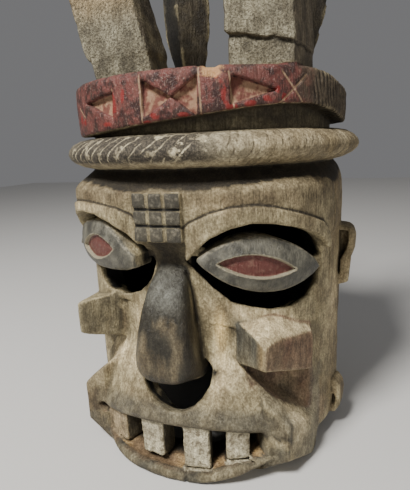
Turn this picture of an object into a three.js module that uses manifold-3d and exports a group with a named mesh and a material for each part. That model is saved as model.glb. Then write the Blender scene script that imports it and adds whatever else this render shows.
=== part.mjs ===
// Carved wooden helmet mask, hollowed from one log.
// Millimetres, +Z up. The face looks along -Y and the rim stands on z = 0. All is carved about the
// log's axis at x = y = 0, and moved at the end so that the origin is under the whole mask's middle.
// Places on the round log are given as [degrees, height]: 0 degrees is the middle of the face
// and positive degrees run towards +X.
import * as THREE from 'three';
import { mergeVertices } from 'three/addons/utils/BufferGeometryUtils.js';
import Module from 'manifold-3d';

// Driving dimensions
const potRadius = 128;
const hollowRadius = 103;
const hollowTop = 236;
const browHeight = 246;
const shoulderTop = 270;
const neckRadius = 112;
const ringRadius = 143;
const ringBottom = 269;
const ringTop = 295;
const grooveRadius = 116;
const bandRadius = 130;
const bandBottom = 305;
const bandTop = 341;
const postTop = 500;
const noseFront = 151;
const noseSideRadius = 117;
const cheekHollowRadius = 113;
const upperLipRadius = 141;
const lowerLipRadius = 144;
const jawRadius = 150;
const cheekEdgeRadius = 156;
const archHeight = 18;
const roundSteps = 48;

// The forehead is squared off: a superellipse this deep in front, as wide as the pot at the sides
const browDepth = 131;
const browPower = 2.6;

// The carver set the right eye and cheek lower than the left: height lost per millimetre of X
const browTilt = 0.03;
const eyeTilt = 0.085;
const cheekTilt = 0.097;

const wasm = await Module();
wasm.setup();

const radians = THREE.MathUtils.degToRad;

function polar(degrees, radius) {
  return [radius * Math.sin(radians(degrees)), -radius * Math.cos(radians(degrees))];
}

function solid(geometry) {
  const bare = geometry.clone();
  bare.deleteAttribute('normal');
  bare.deleteAttribute('uv');
  const merged = mergeVertices(bare.index ? bare.toNonIndexed() : bare, 1e-3);
  const mesh = new wasm.Mesh({
    numProp: 3,
    vertProperties: new Float32Array(merged.attributes.position.array),
    triVerts: new Uint32Array(merged.index.array),
  });
  return new wasm.Manifold(mesh);
}

function joined(solids) {
  return solids.reduce((whole, next) => whole.add(next));
}

// A body of revolution about the log's axis, from a closed profile of [radius, height].
// The optional function moves each point, given its degrees, radius and height.
function turned(profile, moved = null) {
  const points = profile.map(([radius, height]) => new THREE.Vector2(radius, height));
  points.push(points[0].clone());
  const geometry = new THREE.LatheGeometry(points, roundSteps);
  geometry.rotateX(Math.PI / 2);
  const place = geometry.attributes.position;
  for (let i = 0; moved && i < place.count; i += 1) {
    const [px, py] = [place.getX(i), place.getY(i)];
    const degrees = THREE.MathUtils.radToDeg(Math.atan2(px, -py));
    const [radius, height] = moved(degrees, Math.hypot(px, py), place.getZ(i));
    const [x, y] = polar(degrees, radius);
    place.setXYZ(i, x, y, height);
  }
  return facingOut(geometry);
}

// How much further out than a round pot the squared forehead stands
function browSwell(degrees) {
  if (Math.abs(degrees) >= 90) return 1;
  const side = Math.abs(Math.sin(radians(degrees))) ** browPower;
  const front = (Math.cos(radians(degrees)) * (potRadius / browDepth)) ** browPower;
  return (side + front) ** (-1 / browPower);
}

function ringBetween(inner, outer, low, high, moved = null) {
  return turned([[inner, low], [outer, low], [outer, high], [inner, high]], moved);
}

// A wedge that runs outwards between two radii through an outline of [degrees, height].
// Tilt lowers its +X side, and fall lowers its inner end.
function wedge(outline, { tilt = 0, inner = 60, outer = 165, fall = 0 } = {}) {
  const stepDegrees = 7.5;
  const stepRadius = 40;
  const angles = outline.map(([degrees]) => degrees);
  const halfSpan = (Math.max(...angles) - Math.min(...angles)) / 2;
  const reach = outer / Math.cos(radians(halfSpan)) + 4;
  const shape = new THREE.Shape();
  outline.forEach(([degrees, height], i) => {
    const [nextDegrees, nextHeight] = outline[(i + 1) % outline.length];
    const parts = Math.max(1, Math.ceil(Math.abs(nextDegrees - degrees) / stepDegrees));
    for (let k = 0; k < parts; k += 1) {
      const x = degrees + (nextDegrees - degrees) * (k / parts);
      const y = height + (nextHeight - height) * (k / parts);
      if (i + k === 0) shape.moveTo(x, y);
      else shape.lineTo(x, y);
    }
  });
  const steps = Math.ceil((reach - inner) / stepRadius);
  const geometry = new THREE.ExtrudeGeometry(shape, { depth: 1, steps, bevelEnabled: false });
  const place = geometry.attributes.position;
  for (let i = 0; i < place.count; i += 1) {
    const degrees = place.getX(i);
    const radius = inner + place.getZ(i) * (reach - inner);
    const [x, y] = polar(degrees, radius);
    const drop = tilt * potRadius * Math.sin(radians(degrees)) + fall * (potRadius - radius);
    place.setXYZ(i, x, y, place.getY(i) - drop);
  }
  return facingOut(geometry);
}

function facingOut(geometry) {
  const made = solid(geometry);
  if (made.volume() > 0) return made;
  const index = geometry.index ? geometry.toNonIndexed() : geometry.clone();
  const place = index.attributes.position;
  for (let i = 0; i < place.count; i += 3) {
    const [x, y, z] = [place.getX(i), place.getY(i), place.getZ(i)];
    place.setXYZ(i, place.getX(i + 1), place.getY(i + 1), place.getZ(i + 1));
    place.setXYZ(i + 1, x, y, z);
  }
  return solid(index);
}

// The part of a wedge between two radii: a raised or sunk panel that follows the log
function panel(outline, inner, outer, tilt = 0, moved = null) {
  const lowest = -30;
  const highest = 360;
  const follower = ringBetween(inner, outer, lowest, highest, moved);
  return wedge(outline, { tilt, inner: inner - 8, outer: outer + 12 }).intersect(follower);
}

// An upright block from a plan outline of [x, y]
function upright(plan, low, high) {
  const shape = new THREE.Shape(plan.map(([x, y]) => new THREE.Vector2(x, y)));
  const geometry = new THREE.ExtrudeGeometry(shape, { depth: high - low, bevelEnabled: false });
  geometry.translate(0, 0, low);
  return facingOut(geometry);
}

// Everything above the plane through three points
function above(a, b, c) {
  const [p, q, r] = [a, b, c].map((point) => new THREE.Vector3(...point));
  const up = q.clone().sub(p).cross(r.clone().sub(p)).normalize();
  if (up.z < 0) up.negate();
  const along = q.clone().sub(p).normalize();
  const size = 260;
  const geometry = new THREE.BoxGeometry(size, size, size);
  geometry.translate(0, 0, size / 2);
  const basis = new THREE.Matrix4().makeBasis(along, up.clone().cross(along), up).setPosition(p);
  geometry.applyMatrix4(basis);
  return facingOut(geometry);
}

// A block lofted through level sections: centre x, y, width w, depth d, at height z
function lofted(sections, corner = 0.16, turn = 0) {
  const sides = 12;
  const rows = sections.length - 1;
  const geometry = new THREE.CylinderGeometry(1, 1, 1, sides, rows);
  const place = geometry.attributes.position;
  const squared = (value) => (Math.abs(value) < 1e-6 ? 0 : Math.sign(value) * Math.abs(value) ** corner);
  for (let i = 0; i < place.count; i += 1) {
    const { z, x, y, w, d } = sections[Math.round((place.getY(i) + 0.5) * rows)];
    const angle = Math.atan2(place.getZ(i), place.getX(i));
    const reach = Math.hypot(place.getX(i), place.getZ(i));
    const across = (w / 2) * squared(Math.cos(angle)) * reach;
    const along = (d / 2) * squared(Math.sin(angle)) * reach;
    const [c, s] = [Math.cos(radians(turn)), Math.sin(radians(turn))];
    place.setXYZ(i, x + across * c - along * s, y + across * s + along * c, z);
  }
  return facingOut(geometry);
}

function almond([inDegrees, inHeight], [outDegrees, outHeight], rise, fall) {
  const steps = 8;
  const points = [];
  for (let k = 0; k < 2 * steps; k += 1) {
    const t = k < steps ? k / steps : 2 - k / steps;
    const swell = k < steps ? rise : -fall;
    const height = inHeight + (outHeight - inHeight) * t + swell * Math.sin(Math.PI * t) ** 0.8;
    points.push([inDegrees + (outDegrees - inDegrees) * t, height]);
  }
  return points;
}

function mirrored(outline) {
  return outline.map(([degrees, height]) => [-degrees, height]).reverse();
}

function pot() {
  const swellStart = 200;
  const swellFull = 214;
  const profile = [
    [0, 0], [potRadius, 0], [potRadius, swellStart], [potRadius, swellFull],
    [potRadius, browHeight], [potRadius - 3, browHeight + 8], [potRadius - 10, browHeight + 16],
    [neckRadius, shoulderTop],
    [ringRadius - 12, ringBottom], [ringRadius - 4, ringBottom + 1], [ringRadius - 1, ringBottom + 6],
    [ringRadius, ringBottom + 13], [ringRadius - 2, ringTop - 5], [ringRadius - 8, ringTop],
    [grooveRadius, ringTop], [grooveRadius, bandBottom],
    [bandRadius - 2, bandBottom], [bandRadius, bandBottom + 2],
    [bandRadius, bandTop - 2], [bandRadius - 2, bandTop], [0, bandTop],
  ];
  return turned(profile, (degrees, radius, height) => {
    const onForehead = radius > neckRadius + 1 && height >= swellFull && height < ringBottom - 1;
    return [onForehead ? radius * browSwell(degrees) : radius, height];
  });
}

function hollow() {
  const inside = turned([
    [0, -10], [hollowRadius, -10], [hollowRadius, hollowTop - 40],
    [hollowRadius - 12, hollowTop - 12], [hollowRadius - 34, hollowTop], [0, hollowTop],
  ]);
  const arch = [[62, -20], [66, archHeight], [112, archHeight], [124, -20]];
  return joined([inside, wedge(arch), wedge(mirrored(arch))]);
}

// Hollows cut back beside the nose and under the cheeks. They run out to the wall at their sides.
function faceRecess() {
  const runOut = (deep, full, gone) => (degrees, radius, height) => {
    const shallow = (potRadius + 2 - deep) * THREE.MathUtils.smoothstep(Math.abs(degrees), full, gone);
    return [radius < 150 ? radius + shallow : radius, height];
  };
  const besideNose = [[-37, 200], [-10, 213], [10, 213], [37, 200], [37, 84], [-37, 84]];
  const behindCheeks = [[-32, 146], [32, 146], [33, 84], [-33, 84]];
  const underCheek = [[32, 88], [34, 126], [62, 112], [66, 64], [68, 34], [60, 36], [46, 56], [38, 74]];
  const beside = runOut(noseSideRadius, 20, 37);
  const under = runOut(cheekHollowRadius, 48, 62);
  return joined([
    panel(besideNose, noseSideRadius, 170, cheekTilt, beside),
    panel(behindCheeks, noseSideRadius, 170, cheekTilt),
    panel(underCheek, cheekHollowRadius, 170, cheekTilt / 4, under),
    panel(mirrored(underCheek), cheekHollowRadius, 170, cheekTilt, under),
  ]);
}

// Where the eyes sit: degrees from the middle, and the height of their long axis
const eyeHeight = 196;
const eyeShift = { left: -3, right: 0 };

function onSide(side, outline) {
  const placed = side > 0 ? outline : mirrored(outline);
  const shift = side > 0 ? eyeShift.right : -eyeShift.left;
  return placed.map(([degrees, height]) => [degrees + shift, height]);
}

function socket(side) {
  const outline = almond([9, eyeHeight + 2], [65, eyeHeight], 34, 42);
  return wedge(onSide(side, outline), { tilt: eyeTilt, inner: 84, outer: 160, fall: 0.2 });
}

// A bulging almond eye with a sunk pupil slit, held by a tongue of wood behind each tip
function eyeball(side) {
  const lids = almond([11, eyeHeight + 1], [62, eyeHeight - 3], 22, 23);
  const inTongue = [5, 15, eyeHeight + 2, noseSideRadius - 1];
  const outTongue = [57, 69, eyeHeight - 2, potRadius - 3];
  const tongues = [inTongue, outTongue].map(([from, to, height, reach]) => {
    const outline = [[from, height - 5], [to, height - 5], [to, height + 3], [from, height + 3]];
    return panel(onSide(side, outline), 108, reach, eyeTilt);
  });
  const slit = almond([20, eyeHeight + 2], [49, eyeHeight - 1], 10, 10);
  const centre = 36 * side + (side > 0 ? eyeShift.right : -eyeShift.left);
  const bulge = (grow) => {
    const geometry = new THREE.SphereGeometry(1, 18, 8);
    geometry.scale(64 + grow, 28 + grow, 36 + grow);
    geometry.rotateZ(radians(centre));
    const [x, y] = polar(centre, 111);
    geometry.translate(x, y, eyeHeight - eyeTilt * x);
    return facingOut(geometry);
  };
  const placed = (outline) => wedge(onSide(side, outline), { tilt: eyeTilt, inner: 100, outer: 150 });
  const behind = ringBetween(113, 160, 100, 260);
  const body = placed(lids).intersect(bulge(0)).intersect(behind);
  return joined([body.subtract(placed(slit).subtract(bulge(-4))), ...tongues]);
}

// The arched fold over an eye
function brow(side) {
  const [inner, outer] = [10, 62];
  const steps = 9;
  const top = [];
  const bottom = [];
  for (let k = 0; k <= steps; k += 1) {
    const t = k / steps;
    const degrees = inner + (outer - inner) * t;
    top.push([degrees, 230 + 12 * Math.sin(Math.PI * Math.min(1, t * 1.08)) ** 0.8]);
    bottom.push([degrees, 200 + 26 * Math.sin(Math.PI * t) ** 0.8]);
  }
  const outline = onSide(side, top.concat(bottom.reverse()));
  const follow = (degrees, radius, height) => [radius * browSwell(degrees), height];
  return panel(outline, potRadius - 20, potRadius + 2, browTilt, follow);
}

// Raised forehead block with a grid of nine fields
function foreheadBlock() {
  const [left, right, low, high] = [-8.6, 9, 214, 250];
  const front = 137;
  const block = panel([[left, low], [right, low], [right, high], [left, high]], 106, front);
  const grooves = [];
  for (let k = 1; k < 3; k += 1) {
    const degrees = left + ((right - left) * k) / 3;
    const height = low + ((high - low) * k) / 3;
    const [from, to] = [degrees - 0.5, degrees + 0.5];
    const upDown = [[from, 200], [to, 200], [to, 260], [from, 260]];
    const across = [[-15, height - 1], [15, height - 1], [15, height + 1], [-15, height + 1]];
    grooves.push(panel(upDown, front - 2, 160), panel(across, front - 2, 160));
  }
  return block.subtract(joined(grooves));
}

function nose() {
  const back = 86;
  const levels = [
    { z: 95, x: 0, half: 14, front: 143 }, { z: 98, x: 0, half: 24, front: 148 },
    { z: 106, x: 1, half: 29, front: noseFront }, { z: 118, x: 2, half: 29, front: noseFront },
    { z: 136, x: 3, half: 27, front: noseFront - 2 }, { z: 156, x: 4, half: 24, front: 145 },
    { z: 172, x: 4, half: 21, front: 138 }, { z: 181, x: 3, half: 18, front: 131 },
    { z: 186, x: 3, half: 14, front: 121 },
  ];
  const sections = levels.map(({ z, x, half, front }) => (
    { z, x, y: -(front + back) / 2, w: 2 * half, d: front - back }));
  return lofted(sections, 0.62).subtract(ringBetween(1, hollowRadius + 2, 60, 230));
}

function nostrilHole() {
  const outline = [[-12, 82], [-8, 70], [0, 62.5], [7, 64], [11, 71], [15, 88], [14, 112], [-12, 112]];
  return wedge(outline, { fall: 0.5 });
}

// A cheek: an upright prism set cornerwise, with sloping top and underside
function cheek(side) {
  const lift = side > 0 ? -8 : 8;
  const edge = 34.5;
  const flat = ([x, y], height) => [x * side, y, height + lift];
  const plan = [
    polar(28, 104), polar(29, 118), polar(edge, cheekEdgeRadius), polar(60, potRadius + 1),
    polar(62, potRadius - 14), polar(50, 104),
  ].map(([x, y]) => [x * side, y]);
  const block = upright(plan, 90 + lift, 170 + lift);
  const top = above(
    flat(polar(edge, cheekEdgeRadius), 143), flat(polar(29, 118), 151), flat(polar(60, potRadius), 130));
  const keep = above(
    flat(polar(edge, cheekEdgeRadius), 113), flat(polar(29, 118), 105), flat(polar(60, potRadius), 103));
  return block.subtract(top).intersect(keep);
}

// Upper lip and the slope above it, one curved shelf round the front
function upperLip() {
  const middle = 4;
  const droop = (degrees, radius, height) => {
    const away = Math.min(1.6, Math.abs(degrees - middle) / 33);
    return [radius, height - 9 * away * away * (height < 80 ? 1 : 0.5)];
  };
  const shelf = turned([
    [100, 119], [noseSideRadius - 2, 118], [121, 102], [128, 87], [135, 73], [upperLipRadius - 2, 63],
    [upperLipRadius, 58], [upperLipRadius - 2, 54], [134, 51], [114, 46], [100, 43],
  ], droop);
  const outline = [
    [-37, 30], [37, 30], [41, 40], [41, 64], [35, 82], [24, 107], [16, 122],
    [-14, 122], [-24, 116], [-40, 104], [-48, 80], [-46, 44],
  ];
  return shelf.intersect(wedge(outline, { outer: 160 }));
}

function lowerLip() {
  const shelf = turned([
    [100, 0], [lowerLipRadius - 4, 0], [lowerLipRadius, 3], [lowerLipRadius + 1, 8],
    [lowerLipRadius - 2, 13], [lowerLipRadius - 8, 13], [lowerLipRadius - 12, 9], [118, 12], [100, 12],
  ]);
  return shelf.intersect(wedge([[-40, -10], [36, -10], [36, 40], [-40, 40]]));
}

// The corner of the mouth, a block set cornerwise like the cheek
function jaw(side) {
  const edge = 42;
  const reach = side > 0 ? jawRadius : jawRadius + 3;
  const lift = side > 0 ? 0 : 8;
  const flat = ([x, y], height) => [x * side, y, height];
  const plan = [
    polar(33, 104), polar(34.5, upperLipRadius - 2), polar(edge, reach), polar(58, reach - 10),
    polar(67, potRadius), polar(67, 112), polar(50, 104),
  ].map(([x, y]) => [x * side, y]);
  const top = above(
    flat(polar(edge, reach), 54 + lift), flat(polar(65, 130), 34 + lift), flat(polar(36, 122), 80 + lift));
  const keep = above(flat(polar(34, 148), 9), flat(polar(64, 134), 13), flat(polar(48, 118), -4));
  return upright(plan, 0, 100).subtract(top).intersect(keep);
}

function mouthOpening() {
  return wedge([[-40, 12], [38, 12], [40, 30], [36, 44], [14, 56], [-14, 56], [-36, 46], [-42, 30]]);
}

function teeth() {
  const spans = [[-36, -21.5, 9], [-13, -3.5, 10], [5, 15, 8], [21, 29.5, 10]];
  return joined(spans.map(([from, to, low]) => (
    panel([[from, low], [to, low], [to, 57], [from, 57]], 116, 136))));
}

// A cupped ear standing off the side, open to the front, and the small loop below it
function ear(side) {
  const box = (from, to, low, high) => {
    const outline = [[from, low], [to, low], [to, high], [from, high]];
    return side > 0 ? outline : mirrored(outline);
  };
  const upper = panel(box(87, 101, 144, 205), 112, 143);
  const cup = panel(box(80, 97, 172, 200), potRadius, 139);
  const lower = panel(box(83, 94, 18, 54), 112, 138);
  const hole = panel(box(80, 91, 23, 43), potRadius, 135);
  return upper.subtract(cup).add(lower.subtract(hole));
}

function bandCarving() {
  const sunk = [
    [[-3.5, 335], [-3.5, 307], [7.2, 321]], [[6.8, 321], [15.5, 306], [16, 336]],
    [[-35, 324], [-17, 310], [-16, 329]], [[26, 313], [43, 323], [27, 334]],
  ];
  const undercut = [[14, 300], [30, 310], [46, 313], [62, 311], [86, 300]];
  const wornTop = [[56, 346], [58, 341], [76, 333], [92, 327], [112, 334], [124, 341], [126, 346]];
  return joined([
    ...sunk.map((outline) => panel(outline, bandRadius - 4, bandRadius + 10)),
    panel(undercut, bandRadius - 8, bandRadius + 10),
    panel(wornTop, grooveRadius, bandRadius + 10),
  ]);
}

// Four posts rise from the crown, stout in front and spear-footed behind
function posts() {
  const foot = bandTop - 16;
  const tip = postTop - 26;
  const frontLeft = lofted([
    { z: foot, x: -48, y: -60, w: 60, d: 40 }, { z: bandTop + 13, x: -53, y: -60, w: 61, d: 40 },
    { z: bandTop + 14, x: -54, y: -60, w: 66, d: 42 }, { z: tip, x: -86, y: -60, w: 56, d: 38 },
    { z: postTop, x: -92, y: -58, w: 36, d: 24 },
  ]);
  const frontRight = lofted([
    { z: foot, x: 74, y: -57, w: 55, d: 50 }, { z: bandTop + 20, x: 74, y: -57, w: 55, d: 50 },
    { z: bandTop + 22, x: 74, y: -58, w: 57, d: 53 }, { z: tip, x: 72, y: -57, w: 54, d: 46 },
    { z: postTop, x: 72, y: -55, w: 34, d: 28 },
  ], 0.16, -8);
  const rear = (from) => lofted([
    { z: foot, x: from, y: 58, w: 8, d: 22 }, { z: bandTop + 40, x: from * 1.08, y: 58, w: 26, d: 32 },
    { z: bandTop + 92, x: from * 1.16, y: 58, w: 37, d: 38 },
    { z: tip, x: from * 1.24, y: 58, w: 38, d: 36 }, { z: postTop, x: from * 1.26, y: 56, w: 24, d: 22 },
  ], 0.4);
  return joined([frontLeft, frontRight, rear(-32), rear(70)]);
}

function carve() {
  const cuts = joined([hollow(), faceRecess(), mouthOpening(), bandCarving()]);
  const plain = joined([pot().subtract(cuts), brow(1), brow(-1), upperLip()]);
  const opened = plain.subtract(joined([socket(1), socket(-1), nostrilHole()]));
  const added = [
    eyeball(1), eyeball(-1), foreheadBlock(), nose(), cheek(1), cheek(-1), lowerLip(),
    jaw(1), jaw(-1), teeth(), ear(1), ear(-1), posts(),
  ];
  return opened.add(joined(added));
}

function meshOf(manifold) {
  const { vertProperties, triVerts } = manifold.getMesh();
  const geometry = new THREE.BufferGeometry();
  geometry.setAttribute('position', new THREE.BufferAttribute(new Float32Array(vertProperties), 3));
  geometry.setIndex(new THREE.BufferAttribute(new Uint32Array(triVerts), 1));
  geometry.computeVertexNormals();
  return geometry;
}

const wood = new THREE.MeshStandardMaterial({ color: 0x8a7a5f, roughness: 0.85, metalness: 0 });
const mask = new THREE.Mesh(meshOf(carve()), wood);
mask.name = 'mask';
// The nose stands out further than the ring does behind: the origin goes under the whole mask's middle
mask.geometry.translate(0, (noseFront - ringRadius) / 2, 0);

const part = new THREE.Group();
part.add(mask);

export default part;
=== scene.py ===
"""Looks of the carved wooden helmet mask.

The carving is worked out as one closed surface on a grid of samples, from named sizes in millimetres
about the log's axis, and then moved to the part's own frame. Places on the round log are given as
[degrees, height]: 0 degrees is the middle of the face and positive degrees run towards +X.
"""

import math

import bpy
import numpy as np
from mathutils import Matrix, Vector


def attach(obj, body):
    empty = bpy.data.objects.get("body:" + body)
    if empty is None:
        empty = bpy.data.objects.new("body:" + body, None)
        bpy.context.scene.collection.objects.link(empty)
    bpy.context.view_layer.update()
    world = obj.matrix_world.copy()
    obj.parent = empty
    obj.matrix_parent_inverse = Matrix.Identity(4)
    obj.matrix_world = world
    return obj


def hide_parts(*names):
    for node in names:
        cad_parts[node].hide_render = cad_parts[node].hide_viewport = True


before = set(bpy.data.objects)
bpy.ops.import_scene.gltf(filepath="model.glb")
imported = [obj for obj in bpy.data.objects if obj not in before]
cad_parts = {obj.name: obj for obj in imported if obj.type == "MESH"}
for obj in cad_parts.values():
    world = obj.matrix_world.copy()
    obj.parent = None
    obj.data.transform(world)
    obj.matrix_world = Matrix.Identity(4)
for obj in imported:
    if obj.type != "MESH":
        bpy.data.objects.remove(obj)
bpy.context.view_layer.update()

# Driving dimensions, in millimetres, the same as in the solids
POT = 128.0
HOLLOW = 103.0
HOLLOW_TOP = 236.0
RING = 143.0
GROOVE = 116.0
BAND = 130.0
POST_TOP = 500.0
NOSE_FRONT = 151.0
NOSE_SIDE = 117.0
CHEEK_HOLLOW = 113.0
ARCH = 18.0
BROW_DEPTH = 131.0
BROW_POWER = 2.6
CHEEK_TILT = 0.097
SHIFT_Y = (NOSE_FRONT - RING) / 2

# Sample spacing of the carving, and the largest number of triangles kept
STEP = 1.3
TRIANGLES = 190000
MERGE_BIAS = 2e-5


def smooth_step(value, low, high):
    t = np.clip((value - low) / (high - low), 0.0, 1.0)
    return t * t * (3.0 - 2.0 * t)


def smooth_min(a, b, k):
    if k <= 0:
        return np.minimum(a, b)
    h = np.maximum(k - np.abs(a - b), 0.0) / k
    return np.minimum(a, b) - h * h * k * 0.25


def smooth_max(a, b, k):
    return -smooth_min(-a, -b, k)


def polar(degrees, radius):
    a = math.radians(degrees)
    return radius * math.sin(a), -radius * math.cos(a)


def arc(degrees):
    """Degrees on the log as millimetres along the pot's surface."""
    return degrees * (math.pi / 180.0 * POT)


def outline_distance(px, py, outline):
    """Signed distance to a closed outline, negative inside."""
    points = [np.array(p, np.float32) for p in outline]
    best = None
    sign = None
    for i, v in enumerate(points):
        w = points[i - 1]
        ex, ey = w - v
        wx, wy = px - v[0], py - v[1]
        t = np.clip((wx * ex + wy * ey) / (ex * ex + ey * ey + 1e-9), 0.0, 1.0)
        d = (wx - ex * t) ** 2 + (wy - ey * t) ** 2
        best = d if best is None else np.minimum(best, d)
        above = py >= v[1]
        below = py < w[1]
        left = ex * wy > ey * wx
        flip = (above & below & left) | ~(above | below | left)
        sign = flip if sign is None else sign ^ flip
    d = np.sqrt(best)
    return np.where(sign, -d, d)


def almond(inner, outer, rise, fall, power=0.8, steps=12):
    """An almond between two tips, each [degrees, height], as [degrees, height] points."""
    points = []
    for k in range(2 * steps):
        t = k / steps if k < steps else 2 - k / steps
        swell = rise if k < steps else -fall
        height = inner[1] + (outer[1] - inner[1]) * t + swell * math.sin(math.pi * t) ** power
        points.append((inner[0] + (outer[0] - inner[0]) * t, height))
    return points


def mirrored(outline):
    return [(-d, z) for d, z in outline]


def brow_swell(degrees):
    """How much further out than a round pot the squared forehead stands."""
    a = np.radians(np.minimum(np.abs(degrees), 90.0))
    side = np.sin(a) ** BROW_POWER
    front = np.maximum(np.cos(a) * (POT / BROW_DEPTH), 0.0) ** BROW_POWER
    return (side + front) ** (-1.0 / BROW_POWER)


class Places:
    """Points of the carving, with what the shape functions read from them."""

    def __init__(self, x, y, z):
        self.x, self.y, self.z = x, y, z
        self.r = np.hypot(x, y)
        self.deg = np.degrees(np.arctan2(x, -y))
        self.arc = arc(self.deg)

    def lowered(self, tilt):
        """Height with the carver's tilt taken out, which set the +X side lower."""
        return self.z + tilt * np.clip(self.x, -POT, POT)

    def within(self, outline, tilt=0.0, fall=0.0):
        """Signed distance to a radial wedge with this [degrees, height] outline."""
        height = self.lowered(tilt)
        if fall:
            height = height + fall * (POT - self.r)
        return outline_distance(self.arc, height, [(arc(d), z) for d, z in outline])


def wood(*distances):
    """The wood that all of these shapes have in common."""
    common = distances[0]
    for distance in distances[1:]:
        common = np.maximum(common, distance)
    return common


class Block:
    """Samples of signed distance on a grid, negative inside the wood.

    A form is the lowest and the highest corner of its box and a function of the places in it.
    """

    def __init__(self, low, high, step):
        self.low = np.array(low, float)
        self.step = step
        counts = np.ceil((np.array(high) - self.low) / step).astype(int) + 1
        self.axes = [
            (self.low[k] + step * np.arange(counts[k])).astype(np.float32) for k in range(3)
        ]
        self.field = np.full(counts, 50.0, np.float32)

    def region(self, low, high):
        """The slices between two corners and the places there."""
        cuts = []
        for k in range(3):
            count = self.field.shape[k]
            first = int(np.clip(np.floor((low[k] - self.low[k]) / self.step), 0, count - 2))
            last = int(np.clip(np.ceil((high[k] - self.low[k]) / self.step) + 1, first + 2, count))
            cuts.append(slice(first, last))
        x = self.axes[0][cuts[0]][:, None, None]
        y = self.axes[1][cuts[1]][None, :, None]
        z = self.axes[2][cuts[2]][None, None, :]
        return tuple(cuts), Places(x, y, z)

    def add(self, low, high, shape, blend=1.5):
        cuts, places = self.region(low, high)
        self.field[cuts] = smooth_min(self.field[cuts], shape(places), blend)

    def cut(self, low, high, shape, blend=1.5):
        cuts, places = self.region(low, high)
        self.field[cuts] = smooth_max(self.field[cuts], -shape(places), blend)


def sector(from_deg, to_deg, inner, outer, low, high, margin=6.0):
    """The box round a stretch of the log between two radii."""
    angles = np.linspace(from_deg, to_deg, 13)
    points = np.array([polar(a, r) for a in angles for r in (inner, outer)])
    x0, y0 = points.min(0) - margin
    x1, y1 = points.max(0) + margin
    return (x0, y0, low - margin), (x1, y1, high + margin)


def outline_box(outline, inner, outer, tilt=0.0, fall=0.0):
    degs = [p[0] for p in outline]
    heights = [p[1] for p in outline]
    spare = abs(tilt) * POT + abs(fall) * 45.0
    return sector(min(degs), max(degs), inner, outer, min(heights) - spare, max(heights) + spare)


# The main forms. Turned profiles are [radius, height].

RING_PROFILE = [
    (-20, 268.3), (121, 268.4), (130, 270.4), (137, 273.8), (141.3, 277.6), (143, 281.6),
    (141.8, 286), (137.6, 290.4), (131, 293.8), (122, 295.4), (-20, 295.4),
]
BAND_PROFILE = [
    (-20, 290), (127.6, 290), (129.4, 300), (130.2, 312), (130.4, 324), (130, 337),
    (129, 340), (126.5, 341.2), (-20, 341),
]
BAND_EDGE = [
    (-180, 302), (-92, 301), (-62, 298), (-44, 297), (-20, 300), (0, 303.5), (15, 306.5), (30, 310.5),
    (45, 313.5), (58, 313.3), (70, 309.5), (82, 303.5), (95, 301), (180, 302),
]


def shoulder_start(degrees):
    """How high the pot's side reaches before it slopes to the neck, lowest over the face."""
    return 250.5 + 9.0 * smooth_step(np.abs(degrees - 4.0), 18.0, 62.0)


def body(p):
    """The round pot, squared off at the forehead, with its slope up to the neck."""
    start = shoulder_start(p.deg)
    sloping = np.clip((p.z - start) / (270.5 - start), 0.0, 1.0)
    rounded = np.clip((p.z - 245.0) / 25.5, 0.0, 1.0)
    rounded = 1.0 - np.sqrt(1.0 - rounded**2)
    aside = smooth_step(np.abs(p.deg - 4.0), 22.0, 60.0)
    drop = 17.5 * (sloping**1.15 * (1.0 - aside) + rounded * aside)
    steep = smooth_step(p.z, 244.0, 252.0)
    squared = smooth_step(p.z, 198, 214) * (1 - smooth_step(p.z, 250, 268))
    swell = 1.0 + (brow_swell(p.deg) - 0.996) * squared
    return np.maximum((p.r / swell - (POT - drop)) * (1.0 - 0.25 * steep), p.z - 285.0)


def band(p):
    edge = np.interp(p.deg, [d for d, _ in BAND_EDGE], [z for _, z in BAND_EDGE])
    return smooth_max(outline_distance(p.r, p.z, BAND_PROFILE), (edge - p.z) * 0.95, 2.5)


def hollow(p):
    side = p.r - HOLLOW
    dome = p.z - (HOLLOW_TOP - 34.0 * np.clip(p.r / HOLLOW, 0, 1) ** 5)
    return smooth_max(side, dome * 0.7, 12.0)


def rim_arch(p):
    height = ARCH * smooth_step(np.abs(np.abs(p.deg) - 93.0), 33.0, 26.0)
    height = np.where(np.abs(np.abs(p.deg) - 93.0) < 33.5, height, -30.0)
    return (p.z - height) * 0.8


# The face


def recess_radius(p):
    """The face's ground beside the nose and under the cheeks."""
    z = p.lowered(CHEEK_TILT)
    a = np.abs(p.deg)
    sides = smooth_step(a, 21.0, 38.0)
    upper = smooth_step(z, 150.0, 206.0) * smooth_step(a, 10.0, 26.0)
    lower = 1 - smooth_step(z, 78.0, 92.0)
    top = smooth_step(z, 198.0, 218.0)
    away = np.maximum(np.maximum(sides, upper), np.maximum(lower, top))
    return NOSE_SIDE + (POT + 2.0 - NOSE_SIDE) * away


def face_recess(p):
    deep = (recess_radius(p) - p.r) * 0.8
    return np.maximum(deep, outline_distance(p.arc, p.lowered(CHEEK_TILT), FACE_OUTLINE_ARC))


FACE_OUTLINE = [(-39, 206), (-12, 222), (12, 222), (39, 206), (39, 76), (-39, 76)]
FACE_OUTLINE_ARC = [(arc(d), z) for d, z in FACE_OUTLINE]
BEHIND_CHEEKS = [(-32, 146), (31, 138), (32, 84), (-33, 84)]
UNDER_CHEEK = [(31, 88), (33, 126), (62, 118), (67, 70), (69, 30), (62, 30), (46, 54), (38, 74)]


def behind_cheeks(p):
    return np.maximum(NOSE_SIDE - 0.5 - p.r, p.within(BEHIND_CHEEKS, CHEEK_TILT))


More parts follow.
